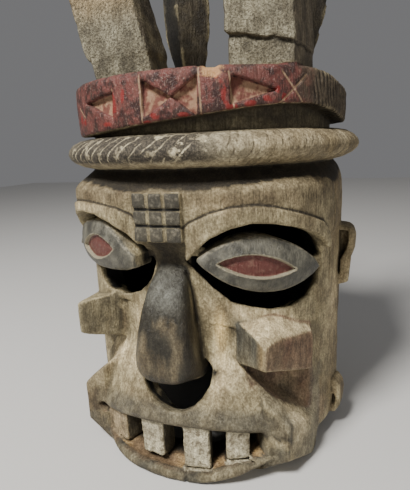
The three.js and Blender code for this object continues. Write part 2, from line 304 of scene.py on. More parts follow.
def under_cheek(side, tilt):
    outline = UNDER_CHEEK if side > 0 else mirrored(UNDER_CHEEK)

    def shape(p):
        shallow = (POT + 3.0 - CHEEK_HOLLOW) * smooth_step(np.abs(p.deg), 47.0, 64.0)
        return np.maximum((CHEEK_HOLLOW + shallow - p.r) * 0.85, p.within(outline, tilt))

    return (*outline_box(outline, 100, 150, tilt), shape)


# The eyes, by side: 1 towards +X and -1 towards -X
SOCKETS = {
    1: [
        (9.5, 196), (12, 203), (18, 215.5), (25, 223), (31, 226), (39, 224.5), (49, 218.5), (57, 211),
        (63, 201), (66, 190), (66, 178), (64, 167), (58, 155.5), (49, 149.5), (41, 150.5), (33, 155),
        (26, 162.5), (19, 174), (14.5, 186),
    ],
    -1: [
        (-8, 203), (-10, 210), (-13, 216.5), (-20, 226), (-28, 231.5), (-37, 233), (-45, 229.5),
        (-53, 221.5), (-60, 210), (-60, 203), (-53, 193), (-45, 185), (-41, 176), (-40, 167),
        (-35, 161.5), (-26, 161), (-17, 168), (-11.5, 179), (-9, 190),
    ],
}
EYES = {
    1: almond((12.5, 198), (60.5, 181.5), 25, 22.5, 0.85),
    -1: [
        (-10, 200), (-12.5, 206), (-16, 213.5), (-21, 221), (-27, 226.5), (-35, 226), (-44, 222),
        (-53, 214), (-62, 204), (-55.5, 193), (-46, 187), (-38, 184), (-30, 183), (-22, 183.5),
        (-15, 185.5), (-10.5, 189),
    ],
}
SLITS = {
    1: almond((20, 196), (47, 185.5), 10, 8, 0.85),
    -1: almond((-18.5, 204.5), (-42, 200), 11, 9.5, 0.75),
}
EYE_CENTRES = {1: (36.5, 190.5), -1: (-34.5, 203.0)}


def socket(side):
    outline = SOCKETS[side]

    def shape(p):
        """Wider further in, so that the socket's walls fall away behind its edge."""
        deep = np.clip(POT - 2.0 - p.r, 0.0, 26.0)
        return p.within(outline) - 0.5 * deep

    return (*outline_box(outline, 84, 160, 0.0, 0.4), shape)


def bulge(side):
    degrees, height = EYE_CENTRES[side]
    centre = math.radians(degrees)
    cx, cy = polar(degrees, 110.5)
    sizes = (64.0, 28.5, 37.0)

    def shape(p):
        along = (p.x - cx) * math.cos(centre) + (p.y - cy) * math.sin(centre)
        out = (p.x - cx) * math.sin(centre) - (p.y - cy) * math.cos(centre)
        q = np.sqrt((along / sizes[0]) ** 2 + (out / sizes[1]) ** 2 + ((p.z - height) / sizes[2]) ** 2)
        return (q - 1.0) * sizes[1]

    return shape


def eyeball(side):
    skin = bulge(side)

    def shape(p):
        outer = smooth_max(p.within(EYES[side]), skin(p), 2.5)
        outer = np.maximum(outer, 111.0 - p.r)
        edge = p.within(SLITS[side])
        rim = np.abs(edge - 0.9) - 0.9
        outer = smooth_min(outer, np.maximum(rim, np.maximum(skin(p) - 0.9, 112.0 - p.r)), 1.0)
        return smooth_max(outer, -np.maximum(edge, -(skin(p) + 3.0)), 0.8)

    return (*outline_box(EYES[side], 100, 146), shape)


# The wood left standing between an eyeball's tip and the wall: degrees, heights and reach
TONGUES = [
    ((4, 16), (197, 205), 116), ((56, 70), (176, 187), 125),
    ((-13, -2), (196, 205), 116), ((-70, -53), (195, 210), 125),
]


def tongue(spec):
    degrees, heights, reach = spec
    outline = rectangle(degrees, heights)

    def shape(p):
        return wood(p.within(outline), 106.0 - p.r, p.r - reach)

    return (*outline_box(outline, 104, reach), shape)


# The upper edge of each brow fold
BROW_EDGES = {
    1: [
        (9, 224), (11, 228), (18, 235.5), (25, 239.5), (33, 240.5), (39, 238), (47, 232.5), (54, 227),
        (61, 221), (65, 212),
    ],
    -1: [
        (-9, 229), (-11, 233.5), (-17, 239), (-26, 242), (-34, 243), (-42, 242), (-52, 238), (-62, 231),
        (-69, 220),
    ],
}


def brow(side):
    edge = BROW_EDGES[side]
    outline = edge + [(side * 68, 196), (side * 36, 192), (side * 9, 196)]

    def shape(p):
        proud = 2.4 * smooth_step(np.abs(p.deg), 9.0, 17.0)
        stand = p.r / brow_swell(p.deg) - (POT + proud)
        return smooth_max(p.within(outline), np.maximum(stand, 112.0 - p.r), 1.6)

    return (*outline_box(outline, 106, 142), shape)


# The forehead block: its sides in degrees, its heights and how far out it stands
BLOCK_SIDES = (-8.8, 9.0)
BLOCK_HEIGHTS = (212.5, 251.5)
BLOCK_FRONT = 137.0


def rectangle(degrees, heights):
    (left, right), (low, high) = degrees, heights
    return [(left, low), (right, low), (right, high), (left, high)]


def third(ends, k):
    return ends[0] + (ends[1] - ends[0]) * k / 3


def forehead_block(p):
    outline = rectangle(BLOCK_SIDES, BLOCK_HEIGHTS)
    solid = smooth_max(p.within(outline), np.maximum(p.r - BLOCK_FRONT, 106 - p.r), 2.0)
    return smooth_max(solid, -block_grooves(p), 1.8)


def block_grooves(p):
    """The two grooves each way that part the block into nine fields."""
    lines = 1e9
    for k in (1, 2):
        upright = np.abs(p.arc - arc(third(BLOCK_SIDES, k)))
        level = np.abs(p.z - third(BLOCK_HEIGHTS, k))
        lines = np.minimum(lines, np.minimum(upright, level) - 0.9)
    return np.maximum(lines, (BLOCK_FRONT - 2.2) - p.r)


def bridge(p):
    """The ground between the forehead block and the nose, which slopes back to the nose's root."""
    reach = np.interp(p.z, [184, 190, 196, 203, 209, 214], [109.0, 110.0, 114.0, 120.5, 126.5, 131.0])
    return wood((p.r - reach) * 0.8, np.abs(p.arc) - arc(9.0), 98 - p.r, np.abs(p.z - 202) - 18)


# The nose by height: its middle, half its width, and its front
NOSE_LEVELS = [
    (80, 2, 27, 149.5), (99, 2, 27.5, 150.2), (106, 2, 28, 151), (118, 2, 28, 151), (136, 2, 26, 149),
    (156, 2.5, 23, 144.5), (170, 2.5, 20.5, 138.5), (179, 2.5, 18.5, 131.5), (186, 2.5, 16.5, 124),
    (191, 2.5, 15, 118),
]
NOSE_BACK = 92.0


def nose_section(z):
    heights = [level[0] for level in NOSE_LEVELS]
    return (np.interp(z, heights, [level[k] for level in NOSE_LEVELS]) for k in (1, 2, 3))


def nose(p):
    centre, half, front = nose_section(p.z)
    depth = (front - NOSE_BACK) / 2
    back = smooth_step(-p.y, 148.0, 112.0)
    half = half * (1.0 - 0.2 * back * smooth_step(p.z, 92.0, 118.0))
    u = np.abs(p.x - centre) / half
    v = np.abs(-p.y - NOSE_BACK - depth) / depth
    section = ((u**3.8 + v**3.8) ** (1 / 3.8) - 1.0) * np.minimum(half, depth)
    aside = np.clip(np.abs(p.x - 2.0) / 28.0, 0.0, 1.3)
    foot = (95.5 - 6.0 * back + 10.0 * aside**3 * (1.0 - back) - p.z) * 0.95
    crown = (p.z - 189.5 + 0.10 * np.abs(p.x - 3.0)) * 0.95
    return smooth_max(smooth_max(section, foot, 8.0), crown, 4.0)


NOSTRIL = [
    (-12.5, 92), (-12, 82), (-10.3, 75), (-6, 67), (0, 62.8), (5, 63.2), (9.5, 68), (12.5, 76),
    (14.5, 86), (14.5, 100), (10, 110), (-10, 110),
]


def nostril(p):
    deep = np.clip(POT + 2.0 - p.r, 0.0, 24.0)
    return p.within(NOSTRIL, 0.0, 0.25) - 0.45 * deep


def plane(p, points):
    """Signed distance below the plane through three points, each [degrees, radius, height]."""
    a, b, c = (np.array((*polar(d, r), z), float) for d, r, z in points)
    up = np.cross(b - a, c - a)
    up /= np.linalg.norm(up)
    if up[2] < 0:
        up = -up
    return (p.x - a[0]) * up[0] + (p.y - a[1]) * up[1] + (p.z - a[2]) * up[2]


# The cheek blocks: plan as [degrees, radius], and planes through three points [degrees, radius, height]
CHEEKS = {
    1: {
        "plan": [(25, 104), (26.5, 118), (32.6, 156), (57.5, 134), (59, 124), (50, 104)],
        "top": [(33, 156, 133.5), (54, 134, 125.5), (40.7, 124, 151)],
        "shoulder": [(33, 156, 133.5), (27, 118, 140.5), (41, 124, 151.5)],
        "base": [(33.5, 153, 109.5), (57, 131, 87), (28.8, 122, 102)],
    },
    -1: {
        "plan": [(-27, 104), (-28, 118), (-34.5, 157), (-60, 131), (-62, 116), (-50, 104)],
        "top": [(-34.5, 157, 155), (-28, 118, 161), (-60, 128, 142)],
        "shoulder": [(-34.5, 157, 155), (-28, 118, 161), (-60, 128, 142)],
        "base": [(-34.5, 157, 121), (-29, 118, 112), (-60, 128, 110)],
    },
}


def cheek(side):
    spec = CHEEKS[side]
    plan = [polar(*point) for point in spec["plan"]]

    def shape(p):
        over = smooth_max(plane(p, spec["top"]), plane(p, spec["shoulder"]), 12.0)
        sides = smooth_max(outline_distance(p.x, p.y, plan), over, 2.5)
        return smooth_max(sides, -plane(p, spec["base"]), 3.0)

    return (*sector(24 * side, 63 * side, 100, 158, 84, 172), shape)


# How far out the muzzle and the upper lip reach, as [height, radius]
LIP_PROFILE = [
    (34, 118), (43, 126), (46, 132), (50, 137), (53, 139.5), (57, 141), (60, 140.6), (65, 138.2),
    (73, 134.6), (87, 128), (102, 121.4), (116, 117), (122, 113),
]
LIP_OUTLINE = [
    (-37, 30), (37, 30), (41, 40), (42, 62), (35, 83), (24, 108), (16, 124),
    (-14, 124), (-24, 118), (-40, 104), (-48, 80), (-46, 44),
]


def lip_height(p):
    """Height with the upper lip's droop towards the corners of the mouth taken out."""
    away = np.minimum(1.6, np.abs(p.deg - 4.0) / 33.0)
    return p.z + 9.0 * away**2 * (1.0 - 0.5 * smooth_step(p.z, 66, 90))


def upper_lip(p):
    height = lip_height(p)
    reach = np.interp(height, [h for h, _ in LIP_PROFILE], [r for _, r in LIP_PROFILE])
    skin = (p.r - reach) * 0.85
    under = (50.5 - 0.25 * np.clip(139 - p.r, 0, 30)) - height
    block = smooth_max(skin, under, 3.0)
    return wood(block, 98 - p.r, p.within(LIP_OUTLINE))


LOWER_LIP_PROFILE = [
    (100, -0.2), (138, -0.2), (142.4, 1.2), (144.4, 4.0), (144.4, 7.4), (142.6, 9.8), (139.5, 10.8),
    (135, 9.8), (118, 9.4), (100, 9.0),
]


def lip_rise(degrees):
    """How much the lower lip rises towards the corners of the mouth."""
    right = 15.0 * np.clip((degrees - 9.0) / 24.0, 0.0, 1.2) ** 1.4
    left = 6.0 * np.clip((-13.0 - degrees) / 22.0, 0.0, 1.2) ** 1.4
    return right + left


def lower_lip(p):
    narrowed = p.r + 5.5 * smooth_step(-p.deg, 18, 38)
    shelf = outline_distance(narrowed, p.z - lip_rise(p.deg), LOWER_LIP_PROFILE) * 0.9
    return np.maximum(shelf, np.maximum(p.arc - arc(38), arc(-41) - p.arc))


JAWS = {
    1: {
        "plan": [(33, 104), (34.5, 139), (41.5, 150), (55, 138), (64, 128), (66, 112), (50, 104)],
        "top": [(41.5, 150, 54), (64, 130, 36), (36, 122, 80)],
        "base": [(34, 148, 17), (42, 140, 11), (50, 128, -1)],
    },
    -1: {
        "plan": [(-33, 104), (-34.5, 139), (-42, 153), (-58, 143), (-67, 128), (-67, 112), (-50, 104)],
        "top": [(-42, 153, 62), (-65, 130, 42), (-36, 122, 88)],
        "base": [(-34, 148, 9), (-64, 134, 13), (-48, 118, -4)],
    },
}


def jaw(side):
    spec = JAWS[side]
    plan = [polar(*point) for point in spec["plan"]]

    def shape(p):
        sides = smooth_max(outline_distance(p.x, p.y, plan), plane(p, spec["top"]), 3.0)
        return np.maximum(smooth_max(sides, -plane(p, spec["base"]), 2.5), -p.z)

    return (*sector(30 * side, 69 * side, 100, 158, 0, 94), shape)


MOUTH = [(-40, 12), (38, 12), (40, 30), (36, 44), (14, 56), (-14, 56), (-36, 46), (-42, 30)]


# Each tooth: from and to in degrees, its foot's height, and how far out its face stands
TEETH = [
    (-35, -22.5, 14, 135.5), (-13.2, -3.3, 13.5, 136), (5.0, 14.8, 8.5, 137.5), (20.8, 29.4, 11, 136.5),
]
TOOTH_TOP = 58


def tooth(spec):
    left, right, low, front = spec
    outline = rectangle((left, right), (low, TOOTH_TOP))

    def shape(p):
        return smooth_max(p.within(outline), np.maximum(p.r - front, 114 - p.r), 3.0)

    return (*outline_box(outline, 112, front), shape)


def undercut(spec):
    """The slot under the front of a tooth, where it stands free of the ledge."""
    left, right, low, front = spec
    low = max(low, lip_rise((left + right) / 2) + 10.0)
    outline = rectangle((left - 1, right + 1), (low + 0.4, low + 2.6))

    def shape(p):
        return np.maximum(p.within(outline), front - 6.0 - p.r)

    return (*outline_box(outline, front - 8, front + 6), shape)


# The small hole at the left corner of the mouth: degrees, height and radius of its middle, and its sizes
MOUTH_CORNER = (-35.2, 38.8, 141.5)
CORNER_SIZES = (8.5, 12.0, 4.6)


def mouth_corner(p):
    degrees, height, reach = MOUTH_CORNER
    x, y = polar(degrees, reach)
    wide, deep, tall = CORNER_SIZES
    away = np.sqrt(((p.x - x) / wide) ** 2 + ((p.y - y) / deep) ** 2 + ((p.z - height) / tall) ** 2)
    return (away - 1.0) * tall


# The ears and the loops below them, as [radius, height]
EAR = [
    (110, 206), (128, 206), (131, 204.9), (138.3, 203.2), (141.5, 200.8), (143, 196.5), (142.6, 184.8),
    (140.6, 177.4), (139, 173.6), (139.4, 171), (138.6, 163.6), (137.4, 150), (135.6, 148.6), (128, 146),
    (110, 146),
]
EAR_HOLLOW = [
    (126, 201.6), (136.6, 200), (137, 190), (134.6, 181.7), (131.6, 176), (129.5, 172), (129.3, 158),
    (126, 152),
]
LOOP = [
    (110, 54), (128, 54.5), (132, 53.5), (136, 48), (137.2, 40), (136, 26), (132, 18), (128, 17), (110, 17),
]
LOOP_HOLLOW = [(128, 38), (131, 38), (132.6, 34), (132, 28), (130.5, 25.5), (128, 25.5)]


def ear(side):
    """A flange and the small loop below it, each with a hollow open towards the face."""

    def shape(p):
        d = side * p.arc
        flange = smooth_max(outline_distance(p.r, p.z, EAR), np.abs(d - arc(94)) - arc(7), 1.5)
        hollowed = np.maximum(outline_distance(p.r, p.z, EAR_HOLLOW), d - arc(92))
        flange = smooth_max(flange, -hollowed, 1.0)
        loop = smooth_max(outline_distance(p.r, p.z, LOOP), np.abs(d - arc(82.5)) - arc(4.5), 3.0)
        hollowed = np.maximum(outline_distance(p.r, p.z, LOOP_HOLLOW), d - arc(80.5))
        return np.minimum(flange, smooth_max(loop, -hollowed, 1.0))

    return (*sector(76 * side, 104 * side, 106, 148, 12, 212), shape)


BAND_SUNK = [
    [(-3.5, 335), (-3.5, 307), (7.2, 321)], [(6.8, 321), (15.5, 306), (16, 336)],
    [(-35, 324), (-17, 310), (-16, 329)], [(26, 313), (43, 323), (27, 334)],
]
WORN_TOP = [(54, 350), (58, 341.5), (76, 333.5), (92, 327.5), (112, 334.5), (124, 341.5), (128, 350)]


def sunk(outline, floor, rising=0.0):
    """A sunk place on the band, whose floor comes out by this much from its top to its bottom."""
    heights = [z for _, z in outline]

    def shape(p):
        lower = np.clip((max(heights) - p.z) / (max(heights) - min(heights)), 0.0, 1.0)
        return np.maximum(p.within(outline), floor + rising * lower - p.r)

    return (*outline_box(outline, floor, 140), shape)


def post_section(p, levels, corner, turn=0.0, lap=0.0):
    """A post from levels of (height, centre x, centre y, width, depth).

    It is a rectangle with rounded corners, or a lozenge where the corner is 0. The lap tilts its lower
    levels.
    """
    heights = [level[0] for level in levels]
    z = p.z
    if lap:
        z = z + lap * (p.x - levels[0][1]) * (1.0 - smooth_step(p.z, 385.0, 420.0))
    cx, cy, w, d = (np.interp(z, heights, [level[k] for level in levels]) for k in (1, 2, 3, 4))
    c, s = math.cos(math.radians(turn)), math.sin(math.radians(turn))
    u = (p.x - cx) * c + (p.y - cy) * s
    v = -(p.x - cx) * s + (p.y - cy) * c
    if corner > 0:
        qu = np.abs(u) - w / 2 + corner
        qv = np.abs(v) - d / 2 + corner
        outside = np.hypot(np.maximum(qu, 0), np.maximum(qv, 0))
        section = outside + np.minimum(np.maximum(qu, qv), 0) - corner
    else:
        section = (np.abs(u) / (w / 2) + np.abs(v) / (d / 2) - 1.0) * np.minimum(w, d) * 0.35
    ends = np.maximum(p.z - levels[-1][0], levels[0][0] - p.z)
    return smooth_max(section, ends, 3.0)


FRONT_LEFT = [
    (322, -46, -60, 61, 40), (344, -50.5, -60, 59, 40), (361, -55, -60, 58, 40),
    (366, -57.5, -60, 64.5, 42), (410, -69, -60, 62, 40), (474, -86, -60, 56, 38),
    (488, -90, -59, 50, 33), (POST_TOP, -93, -58, 38, 24),
]
FRONT_RIGHT = [
    (322, 75, -57, 55, 50), (361, 75, -57, 55.5, 50), (363.5, 74.2, -58, 58.5, 53),
    (420, 73, -58, 58, 50), (474, 71.5, -57, 56, 46), (488, 71.5, -56, 49, 40),
    (POST_TOP, 71.5, -55, 37, 29),
]
# The rear posts lean outwards: height, how far out as a share of the foot's x, y, width and depth
REAR_FEET = (-32, 70)
REAR_LEVELS = [
    (344, 1.02, 58, 22, 30), (362, 1.05, 58, 33, 36), (385, 1.08, 58, 46, 44), (410, 1.12, 58, 55, 48),
    (433, 1.15, 58, 58, 50), (474, 1.2, 58, 54, 46), (490, 1.22, 57, 42, 38), (POST_TOP, 1.23, 56, 30, 28),
]


def rear_post(foot):
    bent = -10.0 if foot < 0 else 0.0
    levels = [(322, foot, 58, 16, 24)]
    levels += [(z, foot * share + bent, y, width, depth) for z, share, y, width, depth in REAR_LEVELS]
    left, right = sorted((foot * 0.9, foot * 1.3))
    low, high = (left - 30, 24, 318), (right + 30, 92, POST_TOP + 4)
    return low, high, lambda p: post_section(p, levels, 0.0)


def crown(block):
    """The ring, the groove's core and the band, with the band's sunk places and its worn right end."""
    block.add((-150, -150, 262), (150, 150, 302), lambda p: outline_distance(p.r, p.z, RING_PROFILE), 3.0)
    block.add(
        (-124, -124, 288), (124, 124, 326), lambda p: np.maximum(p.r - GROOVE, np.abs(p.z - 306) - 15), 1.0
    )
    block.add((-136, -136, 288), (136, 136, 348), band, 1.0)
    for outline in BAND_SUNK:
        block.cut(*sunk(outline, BAND - 6.5, 4.5), 0.6)
    block.cut(*sunk(WORN_TOP, GROOVE), 2.0)


def carve():
    """All the wood, in the order in which the forms take each other's place."""
    block = Block((-150, -160, -4), (150, 150, POST_TOP + 4), STEP)
    block.add((-150, -160, -4), (150, 150, 290), body, 0.0)
    crown(block)

    # The grounds of the face, the brows and the muzzle, and then what opens into the hollow
    block.cut((-128, -165, 30), (128, -60, 226), face_recess, 3.0)
    block.cut(*outline_box(BEHIND_CHEEKS, 108, 140, CHEEK_TILT), behind_cheeks, 2.0)
    for side, tilt in ((1, CHEEK_TILT / 4), (-1, -CHEEK_TILT)):
        block.cut(*under_cheek(side, tilt), 2.0)
    for side in (1, -1):
        block.add(*brow(side), 0.8)
    block.add(*sector(-50, 44, 96, 146, 28, 126), upper_lip, 2.0)
    block.cut(
        *sector(-44, 42, 96, 150, 10, 58), lambda p: np.maximum(p.within(MOUTH), lip_height(p) - 50), 1.5
    )
    block.cut((-110, -110, -10), (110, 110, 240), hollow, 2.0)
    block.cut((-150, -150, -10), (150, 150, 24), rim_arch, 1.0)
    for side in (1, -1):
        block.cut(*socket(side), 2.5)
    block.cut(*sector(-14, 17, 90, 150, 40, 116), nostril, 2.5)

    # What stands in and over the openings
    for side in (1, -1):
        block.add(*eyeball(side), 0.8)
    for spec in TONGUES:
        block.add(*tongue(spec), 2.0)
    block.add((-30, -140, 184), (30, -90, 222), bridge, 2.0)
    block.add(*sector(-10, 10, 100, 142, 210, 254), forehead_block, 1.0)
    block.add((-40, -160, 78), (46, -84, 198), lambda p: smooth_max(nose(p), HOLLOW + 2 - p.r, 2.0), 2.0)
    for side in (1, -1):
        low, high, shape = cheek(side)
        eye = socket(side)[-1]
        block.add(low, high, lambda p: wood(shape(p), HOLLOW - p.r, -eye(p)), 2.5)
    block.add(*sector(-43, 39, 96, 148, -2, 16), lower_lip, 1.5)
    for side in (1, -1):
        block.add(*jaw(side), 3.0)
    for spec in TEETH:
        block.add(*tooth(spec), 1.2)
    for spec in TEETH[1:]:
        block.cut(*undercut(spec), 0.6)
    block.cut(*sector(-43, -32, 130, 156, 34, 50), mouth_corner, 2.0)
    for side in (1, -1):
        low, high, shape = ear(side)
        block.add(low, high, lambda p: np.maximum(shape(p), HOLLOW - p.r), 1.5)

    # The posts, and the flat foot
    top = POST_TOP + 4
    block.add((-125, -90, 318), (0, -30, top), lambda p: post_section(p, FRONT_LEFT, 3.0), 1.5)
    block.add((30, -95, 318), (115, -20, top), lambda p: post_section(p, FRONT_RIGHT, 3.0, -8.0, 0.24), 1.5)
    for foot in REAR_FEET:
        block.add(*rear_post(foot), 1.5)
    block.cut((-150, -160, -10), (150, 150, 3), lambda p: p.z, 0.0)
    return block


def surface(block):
    """The zero surface of the samples, as vertices and quads (one vertex in each crossed cell)."""
    inside = block.field < 0
    nx, ny, nz = inside.shape
    some = np.zeros((nx - 1, ny - 1, nz - 1), bool)
    every = np.ones_like(some)
    corners = [(i, j, k) for i in (0, 1) for j in (0, 1) for k in (0, 1)]
    for i, j, k in corners:
        part = inside[i:nx - 1 + i, j:ny - 1 + j, k:nz - 1 + k]
        some |= part
        every &= part
    cells = np.argwhere(some & ~every)
    number = np.full(some.shape, -1, np.int32)
    number[tuple(cells.T)] = np.arange(len(cells))
    values = {c: block.field[tuple((cells + c).T)] for c in corners}
    total = np.zeros((len(cells), 3), np.float32)
    count = np.zeros(len(cells), np.float32)
    for a in corners:
        for axis in range(3):
            if a[axis]:
                continue
            b = tuple(v + (n == axis) for n, v in enumerate(a))
            va, vb = values[a], values[b]
            crossed = (va < 0) != (vb < 0)
            t = np.where(crossed, va / np.where(crossed, va - vb, 1.0), 0.0)
            point = np.tile(np.array(a, np.float32), (len(cells), 1))
            point[:, axis] += t
            total += point * crossed[:, None]
            count += crossed
    vertices = block.low + (cells + total / count[:, None]) * block.step
    quads = []
    for axis in range(3):
        u, v = (axis + 1) % 3, (axis + 2) % 3
        low = [slice(1, n - 1) for n in (nx, ny, nz)]
        low[axis] = slice(0, (nx, ny, nz)[axis] - 1)
        high = list(low)
        high[axis] = slice(1, (nx, ny, nz)[axis])
        first, second = inside[tuple(low)], inside[tuple(high)]
        edges = np.argwhere(first != second)
        outward = first[tuple(edges.T)]
        edges = edges + [0 if n == axis else 1 for n in range(3)]
        around = []
        for du, dv in ((0, 0), (-1, 0), (-1, -1), (0, -1)):
            step = np.zeros(3, int)
            step[u], step[v] = du, dv
            around.append(number[tuple((edges + step).T)])
        ring = np.stack(around, 1)
        ring[~outward] = ring[~outward][:, ::-1]
        quads.append(ring)
    return vertices, np.concatenate(quads)


def mesh_from(name, vertices, faces):
    mesh = bpy.data.meshes.new(name)
    mesh.vertices.add(len(vertices))
    mesh.vertices.foreach_set("co", vertices.astype(np.float32).ravel())
    mesh.loops.add(faces.size)
    mesh.loops.foreach_set("vertex_index", faces.astype(np.int32).ravel())
    mesh.polygons.add(len(faces))
    mesh.polygons.foreach_set("loop_start", np.arange(len(faces), dtype=np.int32) * faces.shape[1])
    mesh.update(calc_edges=True)
    mesh.validate()
    piece = bpy.data.objects.new(name, mesh)
    bpy.context.scene.collection.objects.link(piece)
    return piece


def thinned(piece, triangles):
    """The piece with its triangles merged down to this number, finest on the face."""
    total = sum(len(poly.vertices) - 2 for poly in piece.data.polygons)
    modifier = piece.modifiers.new("thin", "DECIMATE")
    modifier.ratio = min(1.0, triangles / total)
    modifier.use_collapse_triangulate = True
    modifier.vertex_group = piece.vertex_groups[0].name
    modifier.vertex_group_factor = MERGE_BIAS
    graph = bpy.context.evaluated_depsgraph_get()
    mesh = bpy.data.meshes.new_from_object(piece.evaluated_get(graph))
    piece.modifiers.clear()
    piece.data = mesh
    return piece


# Wear, tool marks and patina, with painted shade and painted highlights in the colours


class Noise:
    """Smooth values from -1 to 1 whose humps have a given size in millimetres, longer along the grain."""

    def __init__(self, seed):
        self.values = np.random.default_rng(seed).random((32, 32, 32)).astype(np.float32)

    def at(self, p, size, grain=1.0):
        total = 0.0
        whole, part = [], []
        for value in (p.x / size + 7.3, p.y / size + 3.1, p.z / (size * grain) + 5.7):
            base = np.floor(value)
            t = value - base
            whole.append(base.astype(int))
            part.append(t * t * (3.0 - 2.0 * t))
        for i in (0, 1):
            for j in (0, 1):
                for k in (0, 1):
                    share = 1.0
                    for t, n in zip(part, (i, j, k)):
                        share = share * (t if n else 1.0 - t)
                    index = tuple((w + n) % 32 for w, n in zip(whole, (i, j, k)))
                    total = total + share * self.values[index]
        return total * 2.0 - 1.0


NOISES = [Noise(seed) for seed in (11, 23, 37, 53, 71)]


def near(value, width):
    """1 at zero, falling to 0 at this distance."""
    return np.clip(1.0 - np.abs(value) / width, 0.0, 1.0)


def polyline_distance(p, points):
    best = 1e9
    for (d0, z0), (d1, z1) in zip(points, points[1:]):
        ax, ex, ez = arc(d0), arc(d1) - arc(d0), z1 - z0
        t = np.clip(((p.arc - ax) * ex + (p.z - z0) * ez) / (ex * ex + ez * ez), 0.0, 1.0)
        best = np.minimum(best, np.hypot(p.arc - ax - ex * t, p.z - z0 - ez * t))
    return best


def nearest(p, lines):
    """The distance to the nearest of these lines, at most 12."""
    best = np.full(len(p.x), 12.0)
    for line in lines:
        best = np.minimum(best, polyline_distance(p, line))
    return best


# Scored lines on the band and the crack in the lower lip, as [degrees, height]
SCORES = [
    [(43.5, 313.5), (54.5, 334.5)], [(53.5, 312.5), (44.5, 336)], [(16.8, 304), (16.4, 341)],
    [(-3.8, 303), (-4.1, 338)], [(26, 336), (27.5, 311)], [(-16, 331), (-17.2, 308)],
    [(-43, 322), (-36.5, 313)],
]
LIP_CRACK = [(5.6, 12), (6.4, 6), (5.8, 1), (6.6, -4)]
# Strokes cut across the ring and the band's worn end: from and to in degrees, spacing and lean
STROKES = (-54, 21, 9.5, -0.85)
HATCHING = (24, 88, 5.2, -0.35)
CUTS = (57, 92, 4.6, 0.2)


def spot(p, degrees, height, wide, tall):
    """1 at a place on the log, falling off over these millimetres."""
    return np.exp(-(((p.arc - arc(degrees)) / wide) ** 2) - ((p.z - height) / tall) ** 2)


def hatch(p, start, stop, spacing, lean):
    """Uneven strokes across the grain between two angles, 0 to 1."""
    phase = (p.arc + lean * p.z + 1.6 * NOISES[4].at(p, 9.0)) / spacing
    line = near((phase - np.floor(phase)) - 0.5, 0.22)
    span = smooth_step(p.deg, start - 1, start + 1) * smooth_step(-p.deg, -stop - 1, -stop + 1)
    return line * span * smooth_step(NOISES[3].at(p, 11.0), -0.75, -0.2)


def occupancy(block):
    """How much wood there is within about 6 mm of each sample, 0 to 1."""
    share = np.clip(0.5 - block.field / (2.0 * block.step), 0.0, 1.0).astype(np.float32)
    reach = max(1, int(round(3.2 / block.step)))
    for _ in range(2):
        for axis in range(3):
            padding = [(0, 0)] * 3
            padding[axis] = (reach + 1, reach)
            total = np.cumsum(np.pad(share, padding, mode="edge"), axis=axis, dtype=np.float32)
            upper = [slice(None)] * 3
            lower = [slice(None)] * 3
            upper[axis] = slice(2 * reach + 1, None)
            lower[axis] = slice(0, -(2 * reach + 1))
            share = (total[tuple(upper)] - total[tuple(lower)]) / (2 * reach + 1)
    return share


def sampled(values, block, points):
    """Values of a grid at points, straight between the samples."""
    place = (points - block.low) / block.step
    base = np.clip(np.floor(place).astype(int), 0, np.array(values.shape) - 2)
    t = np.clip(place - base, 0.0, 1.0)
    total = 0.0
    for i in (0, 1):
        for j in (0, 1):
            for k in (0, 1):
                share = 1.0
                for axis, n in enumerate((i, j, k)):
                    share = share * (t[:, axis] if n else 1.0 - t[:, axis])
                corner = base + (i, j, k)
                total = total + share * values[corner[:, 0], corner[:, 1], corner[:, 2]]
    return total


def quad_normals(vertices, quads):
    cross = np.cross(
        vertices[quads[:, 2]] - vertices[quads[:, 0]], vertices[quads[:, 3]] - vertices[quads[:, 1]]
    )
    normals = np.zeros_like(vertices)
    for axis in range(3):
        for corner in range(4):
            normals[:, axis] += np.bincount(quads[:, corner], cross[:, axis], len(vertices))
    return normals / np.maximum(np.linalg.norm(normals, axis=1, keepdims=True), 1e-9)


class Surface:
    """Points on the carving with what the wear and the colours need to know of each."""

    def __init__(self, points, normals, closeness):
        self.p = Places(*points.T)
        self.normals = normals
        p = self.p
        self.edge = smooth_step(0.44 - closeness, 0.0, 0.14)
        self.hollow = smooth_step(closeness, 0.54, 0.72)
        inside = (p.r < HOLLOW + 2.5) & (p.z < HOLLOW_TOP + 3) & (p.z > -1)
        self.outside = np.where(inside, 0.0, 1.0)
        self.front_facing = smooth_step(-normals[:, 1], 0.35, 0.75)
        self.posts = smooth_step(p.z, 342.0, 345.0)
        self.band = smooth_step(p.r, GROOVE + 1, GROOVE + 5) * (p.z > 296) * (p.z < 342.5)
        self.ring = smooth_step(p.r, 119, 124) * ((p.z > 267) & (p.z < 296.5) & (p.r > 119))


def adze_marks(along, up, size):
    """Shallow hollows with crisp ridges between them, 0 in their middles and about 1 on the ridges."""
    jitter = np.random.default_rng(5).random((64, 64, 2))
    u, v = along / size, up / (size * 1.35)
    column, row = np.floor(u).astype(int), np.floor(v).astype(int)
    best = np.full(np.shape(u), 9.0)
    for i in (-1, 0, 1):
        for j in (-1, 0, 1):
            shift = jitter[(column + i) % 64, (row + j) % 64]
            du = u - (column + i + 0.2 + 0.6 * shift[..., 0])
            dv = v - (row + j + 0.2 + 0.6 * shift[..., 1])
            best = np.minimum(best, du * du + dv * dv)
    return np.minimum(best * 1.6, 1.0)


# Drying cracks, as [degrees, height]
CRACKS = [
    [(148, 4), (150, 60), (147, 118), (149, 176)], [(-134, 262), (-131, 204), (-133, 150), (-132, 118)],
    [(112, 258), (113, 214), (111.5, 182)], [(-96, 22), (-97, 66), (-95.5, 104)],
    [(72.5, 246), (73.2, 204), (72.6, 160)], [(176, 340), (175, 322), (176, 304)],
]


